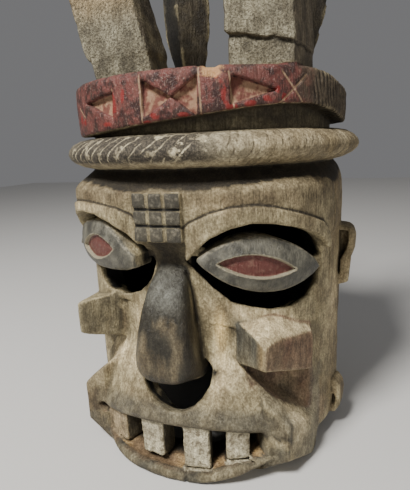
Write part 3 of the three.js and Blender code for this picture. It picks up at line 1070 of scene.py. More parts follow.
def cracks(p):
    """0 to 1 on the drying cracks, which pinch out at their ends."""
    best = np.zeros(len(p.x))
    for line in CRACKS:
        heights = [z for _, z in line]
        low, high = min(heights), max(heights)
        taper = np.clip(np.minimum(p.z - low, high - p.z) / (0.3 * (high - low)), 0.05, 1.0)
        best = np.maximum(best, near(polyline_distance(p, line), 0.5 + 1.1 * taper))
    return best * (p.r > GROOVE - 2)


def nicks(surface):
    """Short upright chisel nicks on the brow folds and along the top of the forehead, 0 to 1."""
    p = surface.p
    phase = (p.arc + 1.4 * NOISES[4].at(p, 8.0)) / 3.1
    strokes = near((phase - np.floor(phase)) - 0.5, 0.3) * smooth_step(NOISES[2].at(p, 6.0, 2.5), -0.3, 0.4)
    fold = np.full(len(p.x), 9.0)
    for side in (1, -1):
        fold = np.minimum(fold, brow(side)[-1](p))
    fold = smooth_step(2.5 - fold, 0.0, 1.0) * smooth_step(p.within(SOCKETS[1]), 3.0, 9.0)
    fold = fold * smooth_step(p.within(SOCKETS[-1]), 3.0, 9.0) * surface.outside
    top = near(p.z - 244.0, 7.0) * (p.r > 116) * (np.abs(p.deg) < 66) * surface.outside
    return strokes * np.maximum(fold, top)


def teeth_distance(p):
    """The distance to the nearest tooth, at most 9."""
    best = np.full(len(p.x), 9.0)
    for spec in TEETH:
        best = np.minimum(best, tooth(spec)[-1](p))
    return best


def teeth_front(p):
    """1 on the fronts of the teeth, which are crusty and pale."""
    front = smooth_step(2.0 - teeth_distance(p), 0.0, 1.0)
    return front * smooth_step(p.r, 132.5, 134.5) * (p.z < 54) * (p.z > 8)


def lap_line(p):
    """The ragged crack across the front of the right-hand front post, 0 to 1."""
    line = p.z + 0.24 * (p.x - 75.0) - 362.0 + 1.5 * NOISES[1].at(p, 7.0)
    return near(line, 1.7) * (p.y < -45) * (p.x > 40) * (p.x < 110)


def weathered(surface):
    """How far each point moves out, in millimetres."""
    p = surface.p
    broad, medium, fine, sharp, extra = NOISES
    worn = 0.42 * broad.at(p, 21.0, 1.5) + 0.2 * medium.at(p, 8.0, 2.6) + 0.1 * fine.at(p, 3.6, 3.5)
    hewn = 0.9 * broad.at(p, 16.0, 1.8) + 0.35 * medium.at(p, 7.0, 1.5)
    move = surface.outside * worn + (1 - surface.outside) * hewn
    plain = smooth_step(np.abs(p.deg), 70.0, 86.0) * (p.z < 262) * (p.r < POT + 1.5) * surface.outside
    move = move + 0.9 * plain * (adze_marks(p.arc, p.z, 15.0) - 0.5)
    move = move + 1.3 * (1 - surface.outside) * (adze_marks(p.arc * 0.8, p.z, 19.0) - 0.5)
    rear = surface.posts * (1.0 - surface.front_facing * (p.y < -30))
    move = move + 0.8 * rear * (adze_marks(p.x + p.y, p.z, 13.0) - 0.5)
    move = move - 2.2 * cracks(p) * surface.outside
    pits = 0.8 * np.maximum(fine.at(p, 2.6) - 0.05, 0.0) + 0.25 * np.maximum(sharp.at(p, 6.0, 1.4), 0.0)
    front_posts = surface.posts * surface.front_facing * (p.y < -30)
    move = move - front_posts * pits + 0.5 * front_posts * extra.at(p, 14.0, 1.5)
    move = move + 0.3 * sharp.at(p, 4.0) * surface.band * (p.r > BAND - 2)
    move = move - 1.6 * smooth_step(spot(p, 20.5, 337.5, 8.0, 5.5), 0.3, 0.6) * surface.band
    chips = np.maximum(extra.at(p, 8.5) - 0.18, 0.0) * surface.edge
    move = move - chips * (0.9 + 2.2 * surface.posts + 1.4 * surface.band * (p.z > 333))
    scratches = hatch(p, *STROKES) * surface.ring
    scratches = scratches + 0.6 * hatch(p, *HATCHING) * surface.ring
    scratches = scratches + 1.3 * hatch(p, *CUTS) * surface.band
    move = move - 0.55 * scratches
    for line in SCORES:
        move = move - 0.8 * near(polyline_distance(p, line), 1.5) * surface.band
    move = move - 1.8 * near(polyline_distance(p, LIP_CRACK), 1.4) * (p.r > 128) * (p.z < 14)
    for line in BROW_EDGES.values():
        move = move - 1.3 * near(polyline_distance(p, line), 1.8) * (p.r > 124) * surface.outside
    move = move - 0.35 * nicks(surface) - 1.4 * lap_line(p)
    move = move + 0.5 * teeth_front(p) * (fine.at(p, 3.2) + sharp.at(p, 6.0))
    return move


def to_linear(colour):
    return np.array([((c + 0.055) / 1.055) ** 2.4 if c > 0.04045 else c / 12.92 for c in colour])


def tone(r, g, b):
    """A colour named by its 0 to 255 screen values, for use as paint."""
    return to_linear((r / 255, g / 255, b / 255))


# Paints. The near black, the dark, the brown and the side brown also serve as painted shade, and the pale
# wood and the cream also serve as painted highlights, where the comments below say so
CREAM = tone(224, 207, 168)
PALE_WOOD_AND_HIGHLIGHT = tone(176, 165, 134)
DUSTY_WOOD = tone(148, 137, 108)
BROWN_WOOD_AND_SHADE = tone(108, 90, 67)
DARK_WOOD_AND_SHADE = tone(58, 52, 41)
SOOT_AND_SHADE = tone(22, 20, 16)
SLATE = tone(104, 105, 100)
NOSE_DARK = tone(51, 48, 40)
LIP_GREY = tone(84, 81, 72)
RED_BROWN = tone(116, 84, 70)
OCHRE = tone(204, 172, 118)
GREY_POST = tone(142, 137, 120)
SIDE_BROWN_AND_SHADE = tone(74, 67, 56)
TOOTH = tone(224, 216, 189)
LEDGE = tone(134, 110, 84)


# Paler places, partly thick dust and partly painted light where the pot's faces catch the lamp, as low on
# its right side, and browner places, partly bare brown wood and partly painted shade, as under the ring at
# the top of the forehead and high on the right side: degrees, height, reach along and up
PALE_PLACES = [
    (22, 97, 26, 11), (-24, 98, 24, 12), (26, 152, 24, 10), (48, 56, 16, 20), (-18, 128, 8, 22),
    (78, 130, 16, 45), (50, 40, 12, 14), (82, 150, 12, 30), (16, 92, 12, 8), (-36, 92, 14, 12),
    (-36, 237, 26, 5), (6, 88, 30, 7), (42, 141, 18, 8), (20, 238, 10, 4),
]
BROWN_PLACES = [
    (-26, 246, 34, 9), (26, 245, 44, 7), (-50, 40, 20, 26), (76, 215, 26, 34), (-50, 96, 14, 20),
    (52, 226, 18, 14), (-8, 70, 16, 8), (98, 100, 30, 90), (-100, 120, 40, 120),
]

# Where the dark of the neck begins, partly grime and partly painted shade under the ring, as [degrees,
# height]
NECK_DARK = [
    (-180, 262), (-110, 260), (-70, 256), (-45, 252), (-22, 250), (-12, 249), (-5, 251.5), (15, 249.5),
    (34, 248.5), (56, 246), (80, 252), (110, 259), (180, 262),
]


def stain_and_painted_light(surface):
    """The broad colours of wood, dust and patina at each point, with painted shade in hollows, creases,
    sockets and the mouth and painted highlights on some faces that catch the lamp, under the material's
    fine patterns.
    """
    p = surface.p
    x, y, z, r, deg = p.x, p.y, p.z, p.r, p.deg
    nx, ny, nz = surface.normals.T
    broad, medium, fine, sharp = NOISES[:4]
    cloud = 0.6 * broad.at(p, 26.0, 1.6) + 0.4 * medium.at(p, 10.0, 2.0)
    mottle = 0.6 * sharp.at(p, 13.0, 1.6) + 0.4 * fine.at(p, 5.5, 2.0)
    colour = np.tile(DUSTY_WOOD, (len(cloud), 1))

    def lay(paint, share):
        nonlocal colour
        share = np.clip(share, 0.0, 1.0)[:, None]
        colour = colour * (1.0 - share) + paint * share

    def at(*place):
        return spot(p, *place)

    lay(PALE_WOOD_AND_HIGHLIGHT, 0.5 + 0.7 * cloud)
    lay(BROWN_WOOD_AND_SHADE, 0.5 * smooth_step(mottle, 0.18, 0.8))
    pale = sum(at(*place) for place in PALE_PLACES)
    brown = sum(at(*place) for place in BROWN_PLACES)
    lay(CREAM, 0.9 * pale * (0.9 + 0.5 * mottle) * (r > 108))
    lay(BROWN_WOOD_AND_SHADE * 0.95, 0.6 * brown * (0.85 + 0.8 * mottle) * (r > 108))
    # The sides and the back are browner and barer
    side = smooth_step(np.abs(deg), 58.0, 86.0) * (z < 268)
    lay(BROWN_WOOD_AND_SHADE, 0.5 * side * (0.8 + 0.5 * mottle))
    # Neck and slope above the face: grime, and painted shade cast by the ring, darker towards the neck
    dark_from = np.interp(deg, [d for d, _ in NECK_DARK], [z for _, z in NECK_DARK])
    neck = smooth_step(z - dark_from + 3.0 * mottle, -0.5, 3.0) * (z < 270) * (r < 133)
    streaks = smooth_step(z - dark_from, -10, 0) * (z < 262) * smooth_step(mottle, -0.2, 0.6)
    lay(DARK_WOOD_AND_SHADE, 0.4 * streaks)
    lay(BROWN_WOOD_AND_SHADE * 0.8, 0.5 * smooth_step(z - dark_from, -17, -2) * (z < 262) * (0.9 + 0.5 * mottle))
    lay(DARK_WOOD_AND_SHADE * 0.7, neck)
    # Between block and nose: painted shade on the slope back to the nose's root
    slope = near(p.arc - 1.0, 24.0) * (np.abs(deg) < 9.6) * smooth_step(z, 186, 189) * (z < 213)
    lay(DARK_WOOD_AND_SHADE, 1.2 * np.sqrt(np.maximum(slope, 0)) * (r < 132) * (r > 104))
    # Nose
    centre, _, front = nose_section(z)
    on_nose = smooth_step(2.0 - nose(p), 0.0, 1.0) * (z > 86) * (r > 108)
    fore = smooth_step(-y - front + 15.0 + 5.0 * mottle, -3.0, 3.0)
    left_side = smooth_step(-(x - centre), 6.0, 20.0)
    lay(NOSE_DARK, on_nose * np.maximum(fore, 0.75 * left_side))
    # A painted highlight on the crown of the nose, in slate made brighter
    painted_highlight = np.exp(-(((z - 172) / 13) ** 2) - ((x - 2) / 15) ** 2)
    lay(SLATE * 1.5, on_nose * fore * 0.7 * painted_highlight * (0.8 + 0.6 * cloud))
    rubbed = smooth_step(mottle + 0.5 * at(-2, 116, 16, 18), 0.1, 0.6) * (z < 150)
    lay(tone(132, 119, 94), on_nose * fore * rubbed * 0.55)
    # Nearly black towards the nose's foot, above the nostril
    lay(SOOT_AND_SHADE, on_nose * 0.55 * smooth_step(-z, -106, -97))
    # The nose's right side, dark partly from the wood and partly from painted shade
    right_side = on_nose * smooth_step(nx, 0.45, 0.8) * smooth_step(-z, -172, -140)
    lay(DARK_WOOD_AND_SHADE * 0.7, right_side * (0.85 + 0.3 * mottle))
    # The ground beside and under the eyes
    ground = (r < 124) * (r > 108) * (np.abs(deg) < 45) * (z < 200) * (z > 64)
    # Painted shade where the ground lies in hollows
    lay(DARK_WOOD_AND_SHADE, 0.35 * ground * surface.hollow)
    lay(tone(244, 214, 152), at(20.5, 131, 5.5, 19) * (r > 108) * (on_nose < 0.5))
    lay(OCHRE, 0.35 * at(-16, 128, 5, 18) * (r > 108) * (on_nose < 0.5))
    smear = polyline_distance(p, [(14, 186), (17, 168), (23, 150), (26, 140)])
    lay(DARK_WOOD_AND_SHADE * 1.3, 0.55 * near(smear, 9.0) * (on_nose < 0.5) * (r > 106) * (0.9 + 0.8 * mottle))
    # Painted shade in a strip beside the nose's left foot
    lay(DARK_WOOD_AND_SHADE, 0.4 * at(-13, 150, 4, 30) * (on_nose < 0.5) * (r > 106) * (0.9 + 0.8 * mottle))
    # Painted shade deep in the corner by the left eye's inner tip
    lay(DARK_WOOD_AND_SHADE, at(-9, 197, 7, 9) * (r < 123) * (r > 104))
    # Right cheek: pale top, which is painted highlight on the faces that look up, slate inner facet,
    # red-brown outer facet
    plane_right = smooth_step(2.2 - cheek(1)[-1](p), 0.0, 1.2) * (r > 118)
    inner_facet = plane_right * smooth_step(-nx, -0.15, 0.25) * (nz < 0.55)
    outer_facet = plane_right * smooth_step(nx, 0.3, 0.6) * (nz < 0.5) * (r > 127)
    lay(SLATE * 0.42, 0.85 * inner_facet * (0.85 + 0.6 * cloud) * (r > 119))
    lay(OCHRE, 0.4 * inner_facet * near(deg - 32.0, 2.0) * smooth_step(r, 144, 152))
    lay(RED_BROWN, 0.85 * outer_facet * (0.85 + 0.4 * mottle))
    # Painted highlight on the faces that look up
    lay(CREAM * 0.92, 0.85 * plane_right * smooth_step(nz, 0.35, 0.65))
    lay(DARK_WOOD_AND_SHADE, 0.5 * at(34.5, 58, 5, 14) * (r > 124) * (0.8 + 0.8 * mottle))
    # Recess under the right cheek
    under = (deg > 30) * (deg < 72) * (z < 104) * (z > 20) * (r > 110) * (r < 127.8)
    lay(RED_BROWN * 0.8, 0.75 * under * (0.9 + 0.4 * mottle))
    # Painted shade in the recess, below the cheek block and in its lower corner
    lay(DARK_WOOD_AND_SHADE, 0.55 * under * at(37, 84, 16, 16))
    lay(DARK_WOOD_AND_SHADE, 0.6 * under * at(47, 62, 13, 11))
    lay(RED_BROWN, 0.5 * at(67, 36, 10, 16) * (r > 120))
    # Left cheek
    plane_left = smooth_step(2.2 - cheek(-1)[-1](p), 0.0, 1.2) * (r > 121)
    lay(NOSE_DARK, 0.7 * plane_left * (nz < 0.5) * (0.8 + 0.7 * mottle))
    # Painted highlight on the left cheek's faces that look up
    lay(PALE_WOOD_AND_HIGHLIGHT, 0.6 * plane_left * smooth_step(nz, 0.5, 0.8))
    # Muzzle and upper lip with its worn lower band
    height = lip_height(p)
    band = (r > 128) * (height > 48) * (np.abs(deg - 2) < 42)
    lay(LIP_GREY, 0.9 * band * smooth_step(-height, -75, -67) * (0.85 + 0.5 * mottle))
    # Painted shade along the lip's lower edge, where it curves under
    lay(DARK_WOOD_AND_SHADE, 0.6 * band * smooth_step(-height, -55, -51))
    # Painted shadow along the crease right of the nostril
    crease = polyline_distance(p, [(14, 99), (22, 96), (31, 91)])
    lay(DARK_WOOD_AND_SHADE, 0.5 * near(crease, 7.0) * (r > 115) * (0.8 + 0.8 * mottle))
    lay(BROWN_WOOD_AND_SHADE, 0.3 * at(18, 78, 9, 10) + 0.25 * at(-20, 74, 12, 9))
    # Jaws
    jaw_zone = (r > 127) * (np.abs(deg) > 34) * (np.abs(deg) < 66) * (z < 84)
    lay(SLATE, 0.45 * jaw_zone * (deg > 0) * smooth_step(nx, 0.1, 0.7) * (0.7 + 0.7 * cloud))
    lay(BROWN_WOOD_AND_SHADE * 0.65, 0.8 * jaw_zone * (deg < 0) * (0.8 + 0.7 * mottle))
    lay(LIP_GREY * 0.8, 0.6 * jaw_zone * (deg > 0) * smooth_step(-nx, -0.2, 0.25) * (0.9 + 0.7 * mottle))
    # Mouth: ledge, lower lip and the teeth's sides
    shelf = (z - lip_rise(deg) > 6.5) * (z < 34) * (r < 141.5) * (r > 104) * (np.abs(deg) < 42)
    shelf = shelf * (nz > 0.3)
    lay(LEDGE, 0.9 * shelf)
    lay(OCHRE, 0.7 * shelf * smooth_step(mottle, 0.1, 0.45))
    # Painted shadow in the thin gap between the upper lip and the left teeth
    gap = (height < 50.8) * (height > 46.0) * (r < 139.5) * (r > 124) * (deg < -8) * (deg > -36)
    lay(SOOT_AND_SHADE, 0.95 * gap)
    lay(LIP_GREY * 0.9, 0.85 * (r > 137.5) * (z < 30) * (np.abs(deg) < 42) * (0.85 + 0.8 * mottle))
    on_teeth = (teeth_distance(p) < 1.6) * (z < 54) * (z > 8)
    # Painted shade on the teeth's sides, which the fronts' colour then covers
    lay(DARK_WOOD_AND_SHADE, 0.9 * on_teeth)
    fronts = teeth_front(p)
    lay(TOOTH, fronts * (deg > -20))
    lay(tone(204, 184, 150), 0.9 * fronts * (deg < -20))
    # Painted shade deep in the mouth, behind the teeth
    mouth_deep = (z > 8) * (z < 60) * (np.abs(deg) < 42) * smooth_step(-r, -127, -118)
    lay(SOOT_AND_SHADE, 0.95 * mouth_deep * (on_teeth < 0.5) * (r > 90))
    # Posts: pitted grey fronts, and brown smooth sides whose dark is partly the wood and partly painted
    # shade
    posts = surface.posts
    fore = smooth_step(-ny, 0.6, 0.85) * (y < -25)
    lay(SIDE_BROWN_AND_SHADE, posts * (1 - fore) * (0.9 + 0.3 * mottle))
    lay(tone(108, 99, 84), 0.8 * posts * (1 - fore) * (x > 40) * (y < -20))
    lay(GREY_POST, posts * fore * (0.95 + 0.1 * cloud))
    lay(DARK_WOOD_AND_SHADE, posts * fore * 0.5 * smooth_step(mottle, 0.15, 0.6))
    lay(SOOT_AND_SHADE, 0.9 * lap_line(p))
    lay(OCHRE, posts * fore * (x < 0) * 0.4 * smooth_step(z, 385, 420) * (1 - smooth_step(z, 450, 480)))
    # Painted shade on the rear posts, darkest on the left post's faces that look left
    lay(DARK_WOOD_AND_SHADE * 0.7, posts * (y > 20) * (ny < 0.2) * (0.75 + 0.3 * mottle))
    lay(SOOT_AND_SHADE * 1.5, 0.85 * posts * (y > 20) * (x < 0) * smooth_step(-nx, 0.1, 0.5))
    # Painted highlights along the rear posts' edges
    lay(PALE_WOOD_AND_HIGHLIGHT, posts * (y > 20) * surface.edge * 0.8)
    # Ring: pale kaolin, dark paint left between scratches in front
    lay(tone(180, 171, 147), surface.ring * 0.9)
    lay(tone(134, 120, 92), surface.ring * smooth_step(deg, 18, 45) * (0.75 + 0.4 * mottle))
    lay(tone(150, 136, 106), surface.ring * smooth_step(-z, -277, -272) * 0.6)
    # Right end of the band, where the paint is gone
    lay(tone(92, 82, 68), surface.band * smooth_step(deg, 46, 58))
    lay(tone(92, 82, 68), surface.band * smooth_step(-deg, 84, 100))
    lay(BROWN_WOOD_AND_SHADE, surface.ring * 0.35 * smooth_step(np.abs(deg), 90, 120))
    # Groove, sockets and nostril are dark: painted shade in the groove, darkest under the band, on the
    # sockets' inner walls, where there is some dark patina too, and in the nostril
    groove = (r < BAND - 1.5) * (z > 294) * (z < 314) * (r > 112)
    lay(DARK_WOOD_AND_SHADE, 0.9 * groove * (0.45 + 0.55 * smooth_step(z, 296, 304)))
    grown = np.full(len(cloud), 9.0)
    for side in (1, -1):
        grown = np.minimum(grown, np.where(p.within(EYES[side]) < 1.0, 9.0, p.within(SOCKETS[side])))
    wall = smooth_step(-grown, -19.0, -14.0) * smooth_step(POT - 3.5 - r + 2.0 * mottle, 0.0, 4.0)
    outward = nx * np.sin(np.radians(deg)) - ny * np.cos(np.radians(deg))
    off_cheeks = np.minimum(cheek(1)[-1](p), cheek(-1)[-1](p)) > 2.0
    by_eyes = (r > 95) * (z > 140) * (z < 240) * (np.abs(deg) > 7)
    lay(SOOT_AND_SHADE, wall * off_cheeks * by_eyes * smooth_step(0.8 - outward, 0.0, 0.3))
    sniff = smooth_step(10.0 - p.within(NOSTRIL), 0.0, 2.0) * smooth_step(126.5 - r, 0.0, 3.0) * (z < 99)
    lay(SOOT_AND_SHADE, sniff * (r > 95))
    # Pale raised edges, painted shade in creases and hollows, dark nicks and cracks
    lay(PALE_WOOD_AND_HIGHLIGHT * 1.05, 0.5 * surface.edge * surface.outside * (1 - posts) * (0.7 + 0.8 * mottle))
    lay(DARK_WOOD_AND_SHADE, 0.7 * surface.hollow * surface.outside * (1.0 - 0.5 * surface.ring))
    lay(DARK_WOOD_AND_SHADE, 0.45 * nicks(surface))
    lay(SOOT_AND_SHADE, 0.85 * cracks(p) * surface.outside)
    # Grooves of the forehead block, pale upwards and black across, where the black is painted shade that
    # light from above doesn't reach
    grooves = (np.abs(deg) < 8.6) * (np.abs(z - 232) < 19) * (r < 136.4) * (r > 132)
    across = np.maximum(near(z - third(BLOCK_HEIGHTS, 1), 2.4), near(z - third(BLOCK_HEIGHTS, 2), 2.4))
    lay(PALE_WOOD_AND_HIGHLIGHT * 0.5, 0.7 * grooves)
    lay(SOOT_AND_SHADE, grooves * smooth_step(across, 0.2, 0.6))
    # The hollow is dark all over: painted shade inside the mask
    lay(SOOT_AND_SHADE * 1.5, 1.0 - surface.outside)
    return colour


# Brighter red on the band: degrees, height, and how far it reaches along and up
BRIGHT_RED = [
    (-41, 311, 5, 4), (-37, 309, 5, 3), (-15.5, 318, 3, 10), (-11, 325, 1.5, 12), (-2, 303, 5, 3),
    (1, 308, 4, 2.5), (15.5, 303, 3.5, 3.5), (11, 308, 5, 2), (24, 322, 2.2, 9), (27, 311, 5, 3),
    (33, 313.5, 5, 2.5), (39, 317, 5, 2.5), (42.5, 323.5, 2.5, 3), (45, 318, 3, 3), (-20, 305, 6, 2),
    (22, 336, 2, 6),
]


def polished(p):
    """Where hands have rubbed the wood: the nose, the lip's edge and the painted band, 0 to 1."""
    on_nose = smooth_step(2.0 - nose(p), 0.0, 1.0) * (p.z > 86) * (p.r > 118)
    on_lip = (p.r > 134) * smooth_step(-lip_height(p), -72, -66) * (p.z > 36) * (np.abs(p.deg - 2) < 36)
    on_band = smooth_step(p.r, BAND - 2.5, BAND - 1) * (p.z > 296) * (p.z < 342) * (np.abs(p.deg) < 60)
    return np.clip(on_nose + on_lip + on_band, 0.0, 1.0)


def patterns(surface):
    """Distances in millimetres, positive inside, for the paint and other sharply bounded places."""
    p = surface.p
    far = 12.0
    edge = np.interp(p.deg, [d for d, _ in BAND_EDGE], [z for _, z in BAND_EDGE])
    paint = np.minimum(np.minimum(p.z - edge - 0.5, p.r - GROOVE - 4), 343.0 - p.z)
    recess, lid, slit = (
        np.minimum.reduce([p.within(outline) for outline in outlines])
        for outlines in (BAND_SUNK, EYES.values(), SLITS.values())
    )
    lid = np.where(p.r > 110.0, lid, far)
    fields = block_grooves(p)
    on_block = np.maximum(np.maximum(np.abs(p.arc) - arc(8.9), np.abs(p.z - 232) - 19.8), 135.4 - p.r)
    fields = np.maximum(-fields, on_block)
    bright = 0.0
    for place in BRIGHT_RED:
        bright = np.maximum(bright, spot(p, *place))
    return {
        "paint": np.clip(paint, -far, far),
        "creases": np.where(p.r > 126, nearest(p, BROW_EDGES.values()), far),
        "bright": bright * surface.band,
        "chip": spot(p, 20.5, 338, 8.0, 5.5) * surface.band,
        "crusty": teeth_front(p),
        "recess": -np.clip(recess, -far, far),
        "lid": -np.clip(lid, -far, far),
        "slit": -np.clip(slit, -far, far),
        "fields": -np.clip(fields, -far, far),
        "scores": nearest(p, SCORES),
        "ring": surface.ring,
        "strokes": hatch(p, *STROKES) * surface.ring,
        "hatching": hatch(p, *HATCHING) * surface.ring,
        "cuts": hatch(p, *CUTS) * surface.band,
        "pitted": surface.posts * smooth_step(-surface.normals[:, 1], 0.6, 0.85) * (p.y < -25),
        "polished": polished(p),
    }


def mask_piece():
    block = carve()
    vertices, quads = surface(block)
    around = occupancy(block)
    normals = quad_normals(vertices, quads)
    skin = Surface(vertices, normals, sampled(around, block, vertices))
    vertices = vertices + normals * weathered(skin)[:, None]
    vertices[:, 2] = np.where(skin.p.z < 1.0, skin.p.z, np.maximum(vertices[:, 2], 0.1))
    vertices[:, 1] += SHIFT_Y
    piece = mesh_from("carved_mask", vertices / 1000.0, quads)
    keep = 1.0 - 0.5 * skin.outside * smooth_step(30.0 - skin.p.y, 0.0, 20.0)
    group = piece.vertex_groups.new(name="merge_first")
    for level in np.unique(np.round(keep, 1)):
        group.add(np.flatnonzero(np.round(keep, 1) == level).tolist(), float(level), "REPLACE")
    thinned(piece, TRIANGLES)
    mesh = piece.data
    mesh.polygons.foreach_set("use_smooth", np.ones(len(mesh.polygons), bool))
    points = np.empty(len(mesh.vertices) * 3, np.float32)
    mesh.vertices.foreach_get("co", points)
    points = points.reshape(-1, 3).astype(float) * 1000.0
    points[:, 1] -= SHIFT_Y
    normals = np.empty(len(mesh.vertices) * 3, np.float32)
    mesh.vertex_normals.foreach_get("vector", normals)
    skin = Surface(points, normals.reshape(-1, 3), sampled(around, block, points))
    for name, values in patterns(skin).items():
        layer = mesh.attributes.new(name, "FLOAT", "POINT")
        layer.data.foreach_set("value", np.asarray(values, np.float32))
    # The broad colours, with their painted shade and painted highlights, kept on the points
    layer = mesh.attributes.new("stain_and_painted_light", "FLOAT_COLOR", "POINT")
    colours = np.ones((len(points), 4), np.float32)
    colours[:, :3] = np.clip(stain_and_painted_light(skin), 0.0, 1.0)
    layer.data.foreach_set("color", colours.ravel())
    return piece


class Graph:
    """A material's nodes, joined by short calls."""

    def __init__(self, name):
        self.material = bpy.data.materials.new(name)
        self.material.use_nodes = True
        self.nodes = self.material.node_tree.nodes
        self.links = self.material.node_tree.links
        self.shader = self.nodes["Principled BSDF"]
        self.place = self.nodes.new("ShaderNodeTexCoord").outputs["Object"]

    def put(self, socket, value):
        if isinstance(value, bpy.types.NodeSocket):
            self.links.new(value, socket)
        elif isinstance(value, (int, float)):
            socket.default_value = value
        else:
            socket.default_value = (*value, 1.0) if len(socket.default_value) == 4 else tuple(value)

    def layer(self, name, output="Fac"):
        node = self.nodes.new("ShaderNodeAttribute")
        node.attribute_name = name
        return node.outputs[output]

    def math(self, operation, a, b=0.0, c=0.0):
        node = self.nodes.new("ShaderNodeMath")
        node.operation = operation
        for socket, value in zip(node.inputs, (a, b, c)):
            self.put(socket, value)
        return node.outputs[0]

    def times(self, first, *others):
        for other in others:
            first = self.math("MULTIPLY", first, other)
        return first

    def ramp(self, value, low, high, out_low=0.0, out_high=1.0):
        node = self.nodes.new("ShaderNodeMapRange")
        node.interpolation_type = "SMOOTHSTEP"
        names = ("From Min", "From Max", "To Min", "To Max")
        for name, number in zip(names, (low, high, out_low, out_high)):
            node.inputs[name].default_value = number
        self.put(node.inputs["Value"], value)
        return node.outputs["Result"]

    def mix(self, share, a, b, kind="MIX"):
        node = self.nodes.new("ShaderNodeMix")
        node.data_type = "RGBA"
        node.blend_type = kind
        self.put(node.inputs[0], share)
        self.put(node.inputs[6], a)
        self.put(node.inputs[7], b)
        return node.outputs[2]

    def noise(self, size, detail=3.0, stretch=(1.0, 1.0, 1.0), rough=0.55):
        """Noise with humps of about this many millimetres."""
        mapping = self.nodes.new("ShaderNodeMapping")
        mapping.inputs["Scale"].default_value = stretch
        self.links.new(self.place, mapping.inputs["Vector"])
        node = self.nodes.new("ShaderNodeTexNoise")
        node.inputs["Scale"].default_value = 1000.0 / size
        node.inputs["Detail"].default_value = detail
        node.inputs["Roughness"].default_value = rough
        self.links.new(mapping.outputs["Vector"], node.inputs["Vector"])
        return node.outputs["Fac"]


